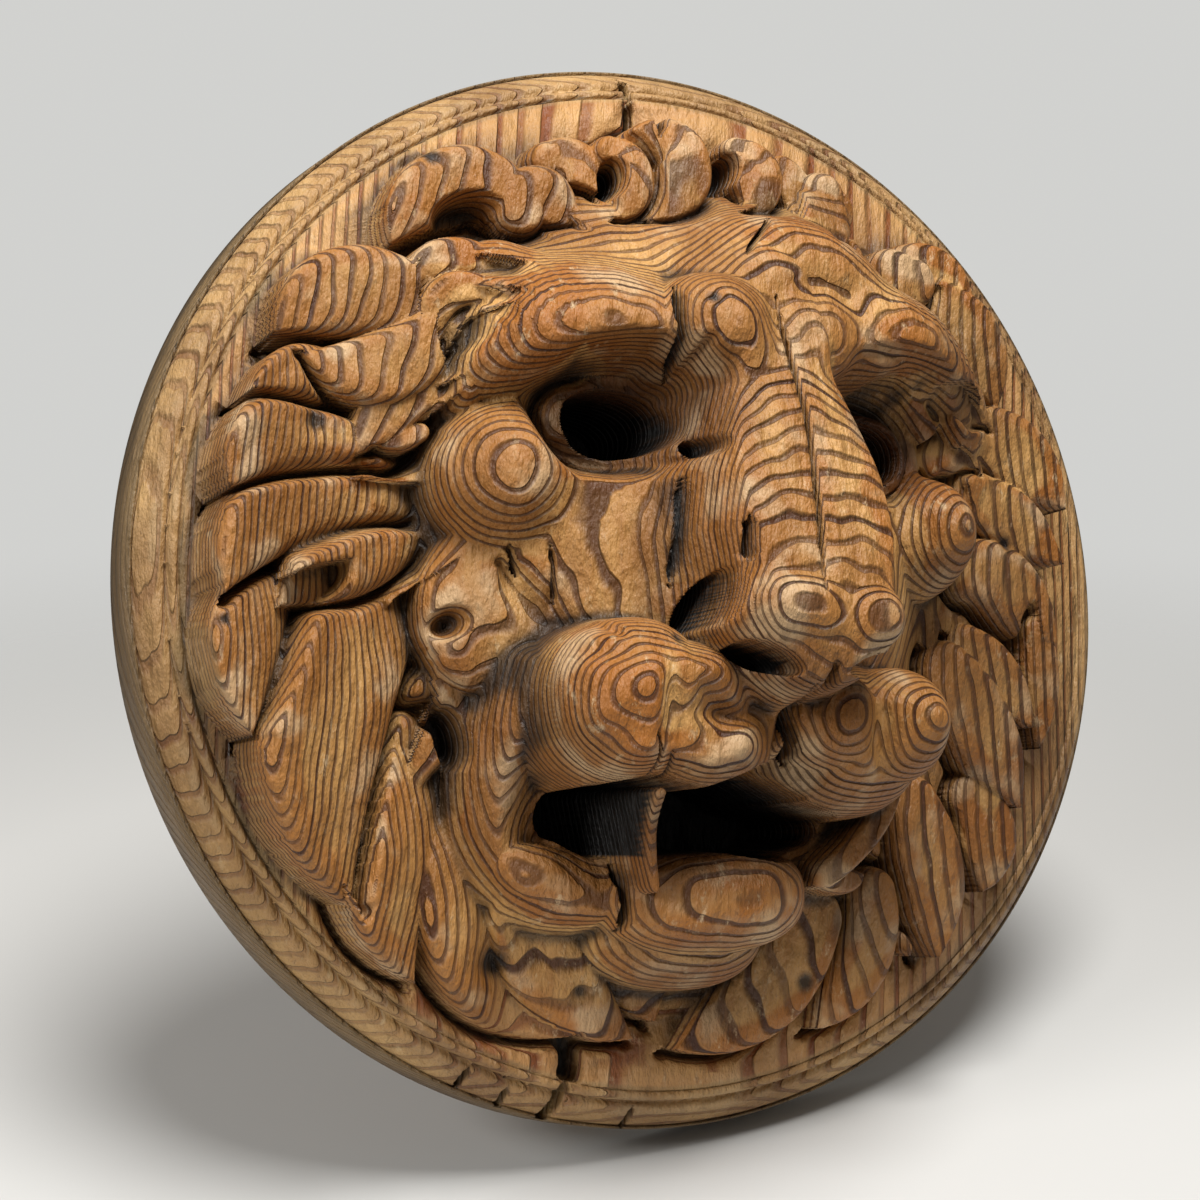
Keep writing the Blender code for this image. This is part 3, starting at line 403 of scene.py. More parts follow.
# foot of the perpendicular on each straight run of the line, and the nearest of them: distance, share
# of the line's length, height of the line there, and the side of the line
def nearest(x, z, line):
    run = line[1:, :2] - line[:-1, :2]
    square = (run ** 2).sum(1)
    dx = x[..., None] - line[:-1, 0]
    dz = z[..., None] - line[:-1, 1]
    t = np.clip((dx * run[:, 0] + dz * run[:, 1]) / square, 0, 1)
    gap = (dx - t * run[:, 0]) ** 2 + (dz - t * run[:, 1]) ** 2
    k = gap.argmin(-1)
    t = np.take_along_axis(t, k[..., None], -1)[..., 0]
    gap = np.sqrt(np.take_along_axis(gap, k[..., None], -1)[..., 0])
    dx = np.take_along_axis(dx, k[..., None], -1)[..., 0]
    dz = np.take_along_axis(dz, k[..., None], -1)[..., 0]
    side = np.sign(run[k, 0] * dz - run[k, 1] * dx)
    length = np.concatenate([[0], np.cumsum(np.sqrt(square))])
    share = (length[k] + t * np.sqrt(square)[k]) / length[-1]
    top = line[k, 2] * (1 - t) + line[k + 1, 2] * t
    return gap, share, top, side


# leaf along a curve: q = distance / width(share), height = top - thick (1 - sqrt(1 - q^6)), on the left
# + rise ((-x - middle) + tilt (own middle - x)); the furrow along its lower side is a Gaussian
def lock(h, x, z, controls, half, thick=0.040, blend=0.006, root=0.75, point=2.2, rise=0.0, cleft=0.0):
    form = leaves
    line = curve(controls)
    reach = form["reach"] * half
    near = ((x > line[:, 0].min() - reach) & (x < line[:, 0].max() + reach)
            & (z > line[:, 1].min() - reach) & (z < line[:, 1].max() + reach))
    if not near.any():
        return h
    gap, share, top, side = nearest(x[near], z[near], line)
    widest = form["widest"]
    swelling = root + (1 - root) * np.sin(np.pi / 2 * np.clip(share / widest, 0, 1))
    taper = 1 - np.clip((share - widest) / (1 - widest), 0, 1) ** point
    width = half * swelling * np.clip(taper, form["leastTaper"], 1)
    q = gap / width
    sunk = thick * (1 - np.sqrt(np.clip(1 - q ** form["edgePower"], 0, 1)))
    leaf = top - sunk - form["outsideFall"] * np.clip(q - 1, 0, None)
    outwards = np.clip(-x[near] - form["middle"], -form["middle"] / 2, None)
    tiltReach = form["tiltReach"]
    outwards += form["tilt"] * np.clip(line[:, 0].mean() - x[near], -tiltReach, tiltReach)
    leaf += rise * outwards * ease(form["leftFrom"], form["leftTo"], -x[near])
    low = 0.5 - 0.5 * side * np.sign(line[-1, 0] - line[0, 0] + 1e-9)
    beyond = np.clip(gap - width, 0, None) / form["cleftWidth"]
    furrowed = h[near] - cleft * low * np.exp(-beyond ** 2)
    out = h.copy()
    out[near] = join(furrowed, leaf, blend)
    return out


# (|u/a|^n + |v/b|^n)^(1/n) in a turned frame: 1 on the ellipse
def oval(x, z, centre, half, turn, squareness):
    a = math.radians(turn)
    dx = x - centre[0]
    dz = z - centre[1]
    u = np.abs(dx * math.cos(a) + dz * math.sin(a)) / half[0]
    v = np.abs(dz * math.cos(a) - dx * math.sin(a)) / half[1]
    return (u ** squareness + v ** squareness) ** (1 / squareness)


# cap of an ellipsoid: edge + (top - edge) sqrt(1 - q^2), falling at 2 per q outside
def boss(h, x, z, centre, half, top, edge, turn, blend, squareness):
    q = oval(x, z, centre, half, turn, squareness)
    cap = edge + (top - edge) * np.sqrt(np.clip(1 - q * q, 0, 1)) - 2 * np.clip(q - 1, 0, None)
    return join(h, cap, blend)


# lowers the surface to a floor where q is under 1
def pit(h, x, z, centre, half, turn, slope, floor, squareness=2.0):
    q = oval(x, z, centre, half, turn, squareness)
    inside = 1 - ease(1 - slope, 1 + slope, q)
    return h + (np.minimum(floor, h) - h) * inside


# foot + (top - foot) (1 - q^2.1)^0.7 across, with q = distance from the middle / half width
def headBlock(x, z):
    top = np.interp(z, skull["z"], skull["top"])
    q = np.abs(x + skull["shift"]) / np.interp(z, skull["z"], skull["half"])
    foot = np.minimum(skull["foot"], top)
    across = np.clip(1 - q ** skull["squareness"], 0, 1) ** skull["fullness"]
    return foot + (top - foot) * across - skull["outsideFall"] * np.clip(q - 1, 0, None)


# ridge along a curve: top - drop q^2, with q = distance / reach, the reach wider above the line than below
def brow(h, x, z, controls, above, below, drop):
    gap, share, top, side = nearest(x, z, curve(controls))
    up = side * np.sign(controls[-1][0] - controls[0][0]) > 0
    q = gap / np.where(up, above, below)
    ridge = top - drop * np.minimum(q, 1) ** 2 - 2 * drop * np.clip(q - 1, 0, None)
    return join(h, ridge, browBlend)


# adds height exp(-q^2) on an ellipse
def swell(h, x, z, centre, half, height):
    return h + height * np.exp(-oval(x, z, centre, half, 0, 2.0) ** 2)


# the orbit on one side, sunk by an S curve
def eyeSocket(h, x, z, side):
    centre = (orbit["x"] * side, orbit["z"])
    bowl = oval(x, z, centre, orbit["half"], -orbit["turn"] * side, orbit["squareness"])
    return h - orbit["depth"] * (1 - ease(orbit["inner"], orbit["outer"], bowl))


# broad ridge: top - crown (distance / flat)^2, then falling by an S curve from flat to foot
def noseBridge(h, x, z):
    gap, _, top, _ = nearest(x, z, curve(nose["line"]))
    flat = np.interp(z, nose["z"], nose["flat"])
    leftSide = ease(nose["halfTurn"], -nose["halfTurn"], x)
    foot = np.interp(z, nose["z"], nose["foot"]) + nose["leftSlope"] * leftSide
    t = (gap - flat) / (foot - flat)
    side = nose["fall"] * (ease(0, 1, t) + np.clip(t - 1, 0, None))
    return join(h, top - nose["crown"] * (gap / flat) ** 2 - side, nose["blend"])


# straight-sided cut along a line whose half width changes on the way; and where it lies
def openMouth(h, x, z, floor):
    line = np.array([point + (half,) for point, half in zip(mouth["line"], mouth["half"])])
    gap, _, half, _ = nearest(x, z, line)
    inside = 1 - ease(*mouth["slope"], gap / half)
    return h + (np.minimum(floor, h) - h) * inside, gap < mouth["seen"] * half


# Gaussian furrow along a line, running out at both ends
def furrow(h, x, z, controls, half, depth):
    gap, share, _, _ = nearest(x, z, flatCurve(controls))
    width = half * np.sqrt(np.sin(np.pi * np.clip(share, 0.03, 0.97)))
    return h - depth * np.exp(-(gap / width) ** 2)


# V-shaped cut: depth times (1.6 - distance / width), at most 1, with the width falling to 0.3 of half at
# both ends; and how far inside it a place lies
def crack(h, x, z, controls, half, depth):
    gap, share, _, _ = nearest(x, z, flatCurve(controls))
    width = half * np.clip(6 * np.minimum(share, 1 - share), 0.3, 1)
    inside = np.clip(1.6 - gap / width, 0, 1)
    return h - depth * inside, inside


# the forms of a table, one after another
def each(form, h, x, z, table, **options):
    for values in table.values():
        h = form(h, x, z, *values, **options)
    return h


# the whole lion: every form joined to the ones before it, then the furrows, pits and cracks cut; and how
# black each place is painted, 0 to 1: painted shade in the cuts, and the knots' own dark
def lion(x, z, floor):
    slope = np.clip((mound["foot"] - np.hypot(x, z - mound["z"])) / mound["width"], 0, 1)
    h = mound["height"] * slope ** mound["fullness"]
    h = each(lock, h, x, z, mane, rise=leaves["rise"], cleft=leaves["cleft"])
    h = join(h, headBlock(x, z), skull["blend"])
    h = each(boss, h, x, z, faceBosses)
    h = each(brow, h, x, z, brows)
    h = each(swell, h, x, z, swellings)
    h = each(lock, h, x, z, folds)
    h = eyeSocket(h, x, z, -1)
    h = eyeSocket(h, x, z, 1)
    h = each(boss, h, x, z, eyeBosses)
    h = noseBridge(h, x, z)
    h = each(boss, h, x, z, muzzleBosses)
    h = each(boss, h, x, z, chinBosses)
    h = each(lock, h, x, z, crown, cleft=leaves["crownCleft"] * leaves["cleft"])
    h = each(swell, h, x, z, lumps)
    h = brow(h, x, z, *lip)
    h = each(furrow, h, x, z, furrows)
    h = each(lock, h, x, z, lipFolds)
    whole = h
    h, inMouth = openMouth(h, x, z, floor)
    for centre, half, turn, slope, squareness in hollows.values():
        h = pit(h, x, z, centre, half, turn, slope, floor, squareness)
    for centre, half, turn, slope, bottom in smallPits.values():
        h = pit(h, x, z, centre, half, turn, slope, bottom)
    h = lock(h, x, z, *strut)
    line = curve(strut[0])
    crest = np.interp(-z, -line[:, 1], line[:, 2])
    # painted black shade deep in the cuts, on the strut's flank in the mouth, and in the cracks below
    cave = np.maximum(ease(*caveDepth, whole - h), inMouth * ease(*strutDepth, crest - h))
    for controls, half, depth in cracks.values():
        h, inCrack = crack(h, x, z, controls, half, depth)
        cave = np.maximum(cave, inCrack)
    for centre, radius in knots.values():
        q = np.hypot(x - centre[0], z - centre[1]) / radius
        h = h - knotDimple * radius * np.exp(-q ** 2)
        cave = np.maximum(cave, knotDark * (1 - ease(*knotFade, q)))
    return np.maximum(h, floor), cave


# radii of the front's outer edge, of the ovolo outside and inside, and of the plain ground
def steps():
    p = plaque
    outer = p["radius"] - p["edgeLean"]
    ovoloOut = outer - p["filletWidth"]
    ovoloIn = ovoloOut - p["ovoloWidth"]
    return outer, ovoloOut, ovoloIn, ovoloIn - p["beadWidth"]


# moulding against the radius: half-round bead, ovolo falling as t^2.2, groove and fillet
def rim(radius):
    p = plaque
    _, ovoloOut, ovoloIn, _ = steps()
    edge = p["edgeDepth"] - p["groundDepth"]
    beadCentre = ovoloIn - p["beadWidth"] / 2
    across = np.clip(np.abs(radius - beadCentre) / (p["beadWidth"] * p["beadShare"]), 0, 1)
    bead = -p["beadSink"] * (1 - np.sqrt(1 - across ** 2))
    t = np.clip((radius - ovoloIn) / p["ovoloWidth"], 0, 1)
    crown = p["ovoloCrown"] * p["ovoloSink"] * np.sin(np.pi * np.clip(p["crownShare"] * t, 0, 1))
    fall = (-edge - p["ovoloSink"]) * t ** p["ovoloPower"]
    ovolo = -p["ovoloSink"] + crown - fall - p["grooveDepth"] * ease(p["grooveFrom"], 1, t)
    h = np.where(radius < ovoloIn, bead, ovolo)
    return np.where(radius > ovoloOut + 1e-6, edge, h)


# smooth noise from sines of turned directions: sum of sin(k.p + phase) / sqrt(count)
def waves(x, z, scale, seed):
    count = 7
    rng = np.random.default_rng(seed)
    total = np.zeros_like(x)
    for _ in range(count):
        angle = rng.uniform(0, 2 * np.pi)
        k = scale * rng.uniform(0.6, 1.7)
        total += np.sin(k * (x * np.cos(angle) + z * np.sin(angle)) + rng.uniform(0, 2 * np.pi))
    return total / math.sqrt(count)


# box blur run three times, close to a Gaussian, by differences of running sums
def blur(a, reach):
    for axis in (0, 1):
        for _ in range(3):
            pad = [(reach + 1, reach) if k == axis else (0, 0) for k in (0, 1)]
            sums = np.cumsum(np.pad(a, pad, mode="edge"), axis)
            n = a.shape[axis]
            high = np.take(sums, np.arange(2 * reach + 1, 2 * reach + 1 + n), axis)
            low = np.take(sums, np.arange(0, n), axis)
            a = (high - low) / (2 * reach + 1)
    return a


# square grid whose rings are bent into circles of the given radii
def discGrid(radii):
    n = len(radii) - 1
    i, j = np.meshgrid(np.arange(-n, n + 1), np.arange(-n, n + 1), indexing="ij")
    ring = np.maximum(np.abs(i), np.abs(j))
    safe = np.maximum(ring, 1)
    alongX = np.pi / 4 * j / safe * np.sign(i) + np.where(i < 0, np.pi, 0)
    alongZ = np.pi / 2 * np.sign(j) - np.pi / 4 * i / safe * np.sign(j)
    angle = np.where(np.abs(i) >= np.abs(j), alongX, alongZ)
    return radii[ring] * np.cos(angle), radii[ring] * np.sin(angle)


# places round the outermost square ring, counter-clockwise
def border(n):
    side = np.arange(-n, n)
    i = np.concatenate([np.full(2 * n, n), -side, np.full(2 * n, -n), side])
    j = np.concatenate([side, np.full(2 * n, n), -side, np.full(2 * n, -n)])
    return i + n, j + n


# radii of the grid's rings: even over the ground, closer over the moulding
def ringRadii():
    outer, ovoloOut, ovoloIn, ground = steps()
    bead = np.linspace(ground, ovoloIn, 9)[1:]
    ovolo = np.linspace(ovoloIn, ovoloOut, 14)[1:]
    inner = np.linspace(0, ground, plaque["gridRings"] - len(bead) - len(ovolo) - 2)
    return np.concatenate([inner, bead, ovolo, [ovoloOut + plaque["filletWidth"] / 4, outer]])


# Unevenness that the tool left: height, waves per unit, seed; it sets in over a span of relief
unevenness = [(0.0042, 22, 3), (0.0012, 60, 4)]
unevenFrom = (0.03, 0.12)
# Blur in grid steps and the height in metres that counts as full: edges, and hollows and clefts painted as
# shade
proudOver = (6, 0.0012)
deepUnder = (16, 0.010)
cleftUnder = (4, 0.0022)
# Hollows count less near the ground
deepNearGround = (0.35, (0.002, 0.010))


# height of the front in metres above the ground; how black, stained and painted with shade each place is
def frontHeights(x, z):
    p = plaque
    radius = np.hypot(x, z)
    ground = steps()[-1]
    unit = ground / field
    lift = p["reliefDepth"] / tip
    u = x / unit
    v = z / unit
    carved, cave = lion(u, v, -p["hollowDepth"] / lift)
    uneven = sum(height * waves(u, v, scale, seed) for height, scale, seed in unevenness)
    h = (carved + uneven * ease(*unevenFrom, carved)) * lift
    cave = cave * (radius < ground)
    h = np.where(radius > ground + 1e-6, rim(radius), h)
    for controls, half, depth in rimCracks.values():
        cut, inCrack = crack(h / lift, u, v, controls, half, depth)
        h = np.where(radius > ground, cut * lift, h)
        cave = np.maximum(cave, inCrack * (radius > ground))
    h = np.minimum(h, p["reliefDepth"])
    stain = 0 * h
    shadeAmount = 0 * h
    # painted shade: darker in the orbits, mouth, nostrils, under the chin and over the right side, where
    # shade falls
    for centre, half, strength in paintedShade.values():
        inside = 1 - ease(*paintedShadeFade, oval(u, v, centre, half, 0, 2))
        shadeAmount = np.maximum(shadeAmount, strength * inside)
    for centre, half in stains.values():
        inside = 1 - ease(*stainFade, oval(u, v, centre, half, 0, stainSquareness))
        stain = np.maximum(stain, inside * (carved < 0.02) * (radius < ground))
    return h, cave, stain, shadeAmount


# the closed surface: front grid, leaning edge, flat back; and masks that say where edges stand proud,
# where hollows and clefts lie for painted shade, and where it is black, stained and painted with shade
def makeMask():
    p = plaque
    radii = ringRadii()
    n = len(radii) - 1
    x, z = discGrid(radii)
    h, cave, stain, shadeAmount = frontHeights(x, z)
    print("forms worked out", h.shape, round(float(h.max()), 4))

    proud = np.clip((h - blur(h, proudOver[0])) / proudOver[1], -1, 1)
    share, heights = deepNearGround
    # painted shade: how far a place lies below its surroundings, to darken hollows
    deep = np.clip((blur(h, deepUnder[0]) - h) / deepUnder[1], -1, 1)
    deep = deep * (share + (1 - share) * ease(*heights, h))
    # painted shade: thin creases at the foot of steps, to be painted black
    cleft = blur(np.clip((blur(h, cleftUnder[0]) - h) / cleftUnder[1], 0, 1), 1)
    front = np.stack([x, -p["groundDepth"] - h, z], -1).reshape(-1, 3)
    index = np.arange(x.size).reshape(x.shape)
    corners = [index[:-1, :-1], index[1:, :-1], index[1:, 1:], index[:-1, 1:]]
    quads = np.stack(corners, -1).reshape(-1, 4)
    rows, columns = border(n)
    outline = index[rows, columns]
    angle = np.arctan2(z[rows, columns], x[rows, columns])
    side = []
    for level in np.linspace(1, 0, 7)[1:]:
        reach = p["radius"] - p["edgeLean"] * level
        depth = 0 * angle - p["edgeDepth"] * level
        side.append(np.stack([reach * np.cos(angle), depth, reach * np.sin(angle)], -1))
    side = np.stack(side)
    sideIndex = len(front) + np.arange(side.shape[0] * side.shape[1]).reshape(side.shape[:2])
    rings = np.concatenate([outline[None], sideIndex])
    walls = np.stack([rings[:-1], rings[1:], np.roll(rings[1:], -1, 1), np.roll(rings[:-1], -1, 1)], -1)
    middle = len(front) + sideIndex.size
    last = sideIndex[-1]
    rear = np.stack([last, np.full_like(last, middle), np.roll(last, -1)], -1)
    points = np.concatenate([front, side.reshape(-1, 3), [[0, 0, 0]]])

    mesh = bpy.data.meshes.new("carved_mask")
    mesh.from_pydata(points, [], quads.tolist() + walls.reshape(-1, 4).tolist() + rear.tolist())
    masks = {"proud": proud, "deep": deep, "cleft": cleft, "cave": cave, "stain": stain, "shadeAmount": shadeAmount}
    for name, values in masks.items():
        full = np.zeros(len(points), np.float32)
        full[:values.size] = values.ravel()
        mesh.attributes.new(name, "FLOAT", "POINT").data.foreach_set("value", full)
    mask = bpy.data.objects.new("carved_mask", mesh)
    bpy.context.scene.collection.objects.link(mask)
    mesh.shade_smooth()
    faces = 2 * (len(quads) + walls.size // 4) + len(rear)
    thin = mask.modifiers.new("fewer triangles where it is flat", "DECIMATE")
    thin.ratio = min(1, p["triangles"] / faces)
    print("mask mesh", len(points), "points", faces, "triangles before thinning")
    return mask


# adds a node of a kind, with its input values by name or number
def addNode(tree, kind, values=None, **settings):
    node = tree.nodes.new(kind)
    for key, value in settings.items():
        setattr(node, key, value)
    for key, value in (values or {}).items():
        if isinstance(value, bpy.types.NodeSocket):
            tree.links.new(value, node.inputs[key])
        else:
            node.inputs[key].default_value = value
    return node


# result of one arithmetic step on sockets or numbers
def calc(tree, operation, *terms):
    values = dict(enumerate(terms))
    return addNode(tree, "ShaderNodeMath", values, operation=operation).outputs[0]


# linear blend of two colours by a factor
def mixColour(tree, factor, a, b):
    return addNode(tree, "ShaderNodeMix", {0: factor, 6: a, 7: b}, data_type="RGBA").outputs[2]


# factor carried from one span to another along an S curve or a line
def remap(tree, value, low, high, toLow=0.0, toHigh=1.0, kind="SMOOTHSTEP"):
    values = {"Value": value, "From Min": low, "From Max": high, "To Min": toLow, "To Max": toHigh}
    return addNode(tree, "ShaderNodeMapRange", values, interpolation_type=kind).outputs[0]


# noise of a place, its scale per metre stretched along each axis
def noise(tree, vector, scale, stretch=(1, 1, 1), detail=3.0, rough=0.5):
    moved = addNode(tree, "ShaderNodeMapping", {"Vector": vector, "Scale": stretch}).outputs[0]
    values = {"Vector": moved, "Scale": scale, "Detail": detail, "Roughness": rough}
    return addNode(tree, "ShaderNodeTexNoise", values).outputs["Fac"]


# sRGB in 0..255 to a linear colour: ((c / 255 + 0.055) / 1.055)^2.4, a straight line near black
def paint(r, g, b):
    return tuple(((c / 255 + 0.055) / 1.055) ** 2.4 if c > 10 else c / 3294.6 for c in (r, g, b)) + (1.0,)


# The wood: where the pith lies behind the plaque, the area of a ring over pi, how much denser the rings
# are in depth than across, how far they wander and tremble in rings, and the colours
wood = {
    "pith": (0.003, 0.060),
    "ringArea": 748e-6,
    "flatness": 1.4,
    "wander": 3.0,
    "tremble": 0.30,
    "pale": paint(200, 154, 92),
    "tan": paint(142, 92, 38),
    "line": paint(62, 28, 7),
    "rust": paint(120, 64, 26),
    "straw": paint(188, 146, 96),
    "shadow": paint(58, 30, 9),
    "gold": paint(150, 88, 24),
    # grime for specks, and painted shade in hollows
    "grimeAndShade": paint(34, 20, 9),
    # black: painted shade in cuts and clefts, and the dark of knots
    "black": paint(8, 5, 3),
    # dust for scuffs, and dust with painted highlight on proud edges
    "dustAndHighlight": paint(206, 178, 138),
    "side": paint(94, 76, 48),
    "dry": paint(176, 146, 98),
    "roughness": 0.52,
    "specular": 0.42,
}
# Noises: scale, stretch along x, y and z, detail, roughness
grains = {
    "wander": (14.0, (1, 1, 0.45), 2.0),
    "tremble": (160.0, (1, 1, 0.3), 2.0),
    "streak": (420.0, (1, 1, 0.06), 4.0, 0.6),
    "mottle": (22.0, (1, 1, 0.6), 4.0, 0.6),
    "speck": (900.0, (1, 1, 0.5), 3.0, 0.7),
    "dustAndHighlightPatches": (60.0,),
    "scuff": (330.0, (1, 0.6, 0.5), 5.0, 0.75),
    "wear": (170.0, (1, 1, 0.4), 4.0, 0.6),
}
# Spans from which a share is read, and to which it is carried when that isn't 0 to 1
spans = {
    "lateWood": (0.58, 0.82),
    "ringEnd": (0.94, 1.0),
    "ringStrength": (0, 1, 0.55, 1.0, "LINEAR"),
    "patches": (0.35, 0.65),
    "fibres": (0.40, 0.70, 0, 0.5),
    "edge": (0.05, 0.7),
    "handled": (0.40, 0.62, 0.2, 0.9),
    "edgeDustAndHighlight": (0.5, 0.68, 0.0, 0.6),
    "ground": (-0.030, -0.0262),
    "stained": (0.3, 0.6, 0.5, 0.95),
    "specks": (0.55, 0.75, 0, 0.35),
    "sunk": (0.20, 0.9),
    "scuffs": (0.56, 0.70, 0, 0.7),
    "scuffed": (0.42, 0.60, 0.15, 1.0),
    "shaded": (0.30, 0.70, 0.65, 1.0),
    "cleft": (0.25, 1.0),
    "rim": (0.1362, 0.1372, 0, 0.45),
    "dried": (0.40, 0.62),
    "outerEdge": (0.1478, 0.1486, 0, 0.75),
}
# Strengths of the straw colour on the ground, of the painted shade in hollows and of the painted black
# shade in clefts
strengths = {"straw": 0.5, "sunk": 0.45, "cleft": 0.8}
# Bump: heights of fibres, specks and wear against the rings', and its depth in metres
bumps = {"streak": 0.5, "speck": 0.5, "wear": 3.0, "distance": 0.0010}


# annual rings of equal area: ring = (across^2 + flatness depth^2) / ringArea about the pith, dark where
# its fraction nears 1, each ring by its own strength
def makeRings(where):
    tree = where.id_data
    axes = addNode(tree, "ShaderNodeSeparateXYZ", {0: where})
    dx = calc(tree, "SUBTRACT", axes.outputs[0], wood["pith"][0])
    dy = calc(tree, "SUBTRACT", axes.outputs[1], wood["pith"][1])
    depthSquare = calc(tree, "MULTIPLY", calc(tree, "MULTIPLY", dy, dy), wood["flatness"])
    square = calc(tree, "MULTIPLY_ADD", dx, dx, depthSquare)
    wander = noise(tree, where, *grains["wander"])
    tremble = noise(tree, where, *grains["tremble"])
    ring = calc(tree, "DIVIDE", square, wood["ringArea"])
    ring = calc(tree, "MULTIPLY_ADD", calc(tree, "SUBTRACT", wander, 0.5), wood["wander"], ring)
    ring = calc(tree, "MULTIPLY_ADD", calc(tree, "SUBTRACT", tremble, 0.5), wood["tremble"], ring)
    phase = calc(tree, "FRACT", ring)
    number = calc(tree, "FLOOR", ring)
    lot = addNode(tree, "ShaderNodeTexWhiteNoise", {"W": number}, noise_dimensions="1D").outputs["Value"]
    late = remap(tree, phase, *spans["lateWood"])
    close = remap(tree, phase, *spans["ringEnd"])
    line = calc(tree, "MULTIPLY", late, calc(tree, "SUBTRACT", 1.0, close))
    return calc(tree, "MULTIPLY", line, remap(tree, lot, *spans["ringStrength"]))


# reads one painted mask of the mesh
def readMask(tree, name):
    return addNode(tree, "ShaderNodeAttribute", attribute_name=name).outputs["Fac"]


# rings over fibres and blotches; golden where hands have worn it, dust and painted highlight on edges,
# scuffed, straw and stained on the ground, painted shade in hollows and where shade falls, painted black
# shade in clefts and cuts, dry and grey on the rim
def makeWood():
    material = bpy.data.materials.new("weathered_pine")
    material.use_nodes = True
    tree = material.node_tree
    shader = tree.nodes["Principled BSDF"]
    where = addNode(tree, "ShaderNodeTexCoord").outputs["Object"]
    line = makeRings(where)
    streak = noise(tree, where, *grains["streak"])
    mottle = noise(tree, where, *grains["mottle"])
    speck = noise(tree, where, *grains["speck"])
    early = mixColour(tree, remap(tree, mottle, *spans["patches"]), wood["tan"], wood["pale"])
    early = mixColour(tree, remap(tree, streak, *spans["fibres"]), early, wood["tan"])
    edge = remap(tree, readMask(tree, "proud"), *spans["edge"])
    worn = calc(tree, "MULTIPLY", edge, remap(tree, mottle, *spans["handled"]))
    early = mixColour(tree, worn, early, wood["gold"])
    # dust with painted highlight on the proud edges
    dustAndHighlightPatches = noise(tree, where, *grains["dustAndHighlightPatches"])
    edgeDustAndHighlight = calc(tree, "MULTIPLY", edge, remap(tree, dustAndHighlightPatches, *spans["edgeDustAndHighlight"]))
    early = mixColour(tree, edgeDustAndHighlight, early, wood["dustAndHighlight"])
    depth = addNode(tree, "ShaderNodeSeparateXYZ", {0: where}).outputs[1]
    low = remap(tree, depth, *spans["ground"])
    early = mixColour(tree, calc(tree, "MULTIPLY", low, strengths["straw"]), early, wood["straw"])
    late = mixColour(tree, low, wood["line"], wood["rust"])
    colour = mixColour(tree, line, early, late)
    stained = remap(tree, streak, *spans["stained"])
    stained = calc(tree, "MULTIPLY", readMask(tree, "stain"), stained)
    colour = mixColour(tree, stained, colour, wood["rust"])
    colour = mixColour(tree, remap(tree, speck, *spans["specks"]), colour, wood["grimeAndShade"])
    # painted shade in the hollows
    sunk = remap(tree, readMask(tree, "deep"), *spans["sunk"])
    colour = mixColour(tree, calc(tree, "MULTIPLY", sunk, strengths["sunk"]), colour, wood["grimeAndShade"])
    scuff = remap(tree, noise(tree, where, *grains["scuff"]), *spans["scuffs"])
    scuff = calc(tree, "MULTIPLY", scuff, remap(tree, mottle, *spans["scuffed"]))
    colour = mixColour(tree, scuff, colour, wood["dustAndHighlight"])
    # painted shade in the shadow colour where shade falls: orbits, mouth, nostrils, under the chin, right
    # side
    shaded = calc(tree, "MULTIPLY", readMask(tree, "shadeAmount"), remap(tree, mottle, *spans["shaded"]))
    colour = mixColour(tree, shaded, colour, wood["shadow"])
    # painted black shade in thin clefts
    cleft = remap(tree, readMask(tree, "cleft"), *spans["cleft"])
    colour = mixColour(tree, calc(tree, "MULTIPLY", cleft, strengths["cleft"]), colour, wood["black"])
    # painted black shade in cuts and cracks, and the knots' own dark
    colour = mixColour(tree, readMask(tree, "cave"), colour, wood["black"])
    plan = addNode(tree, "ShaderNodeVectorMath", {0: where, 1: (1, 0, 1)}, operation="MULTIPLY").outputs[0]
    radius = addNode(tree, "ShaderNodeVectorMath", {0: plan}, operation="LENGTH").outputs["Value"]
    onRim = remap(tree, radius, *spans["rim"])
    dried = mixColour(tree, remap(tree, mottle, *spans["dried"]), wood["side"], wood["dry"])
    colour = mixColour(tree, onRim, colour, dried)
    colour = mixColour(tree, remap(tree, radius, *spans["outerEdge"]), colour, wood["side"])
    tree.links.new(colour, shader.inputs["Base Color"])
    shader.inputs["Roughness"].default_value = wood["roughness"]
    shader.inputs["Specular IOR Level"].default_value = wood["specular"]

    relief = calc(tree, "MULTIPLY", speck, bumps["speck"])
    relief = calc(tree, "MULTIPLY_ADD", streak, bumps["streak"], relief)
    relief = calc(tree, "SUBTRACT", relief, line)
    wear = noise(tree, where, *grains["wear"])
    relief = calc(tree, "MULTIPLY_ADD", wear, bumps["wear"], relief)
    values = {"Height": relief, "Distance": bumps["distance"], "Strength": 1.0}
    bump = addNode(tree, "ShaderNodeBump", values)
    tree.links.new(bump.outputs[0], shader.inputs["Normal"])
    return material


mask = makeMask()
mask.data.materials.append(makeWood())
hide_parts("lion_mask")
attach(mask, "root")
print("mask placed")

# Camera: its place and its turn about the plaque, read from the ellipse of the rim
shot = {
    "place": (-0.25501, -0.53377, -0.08088),
    "azimuth": -0.428997,
    "elevation": -0.132401,
    "roll": 0.014392,
    "lens": 62.14,
    "sensor": 36.0,
}


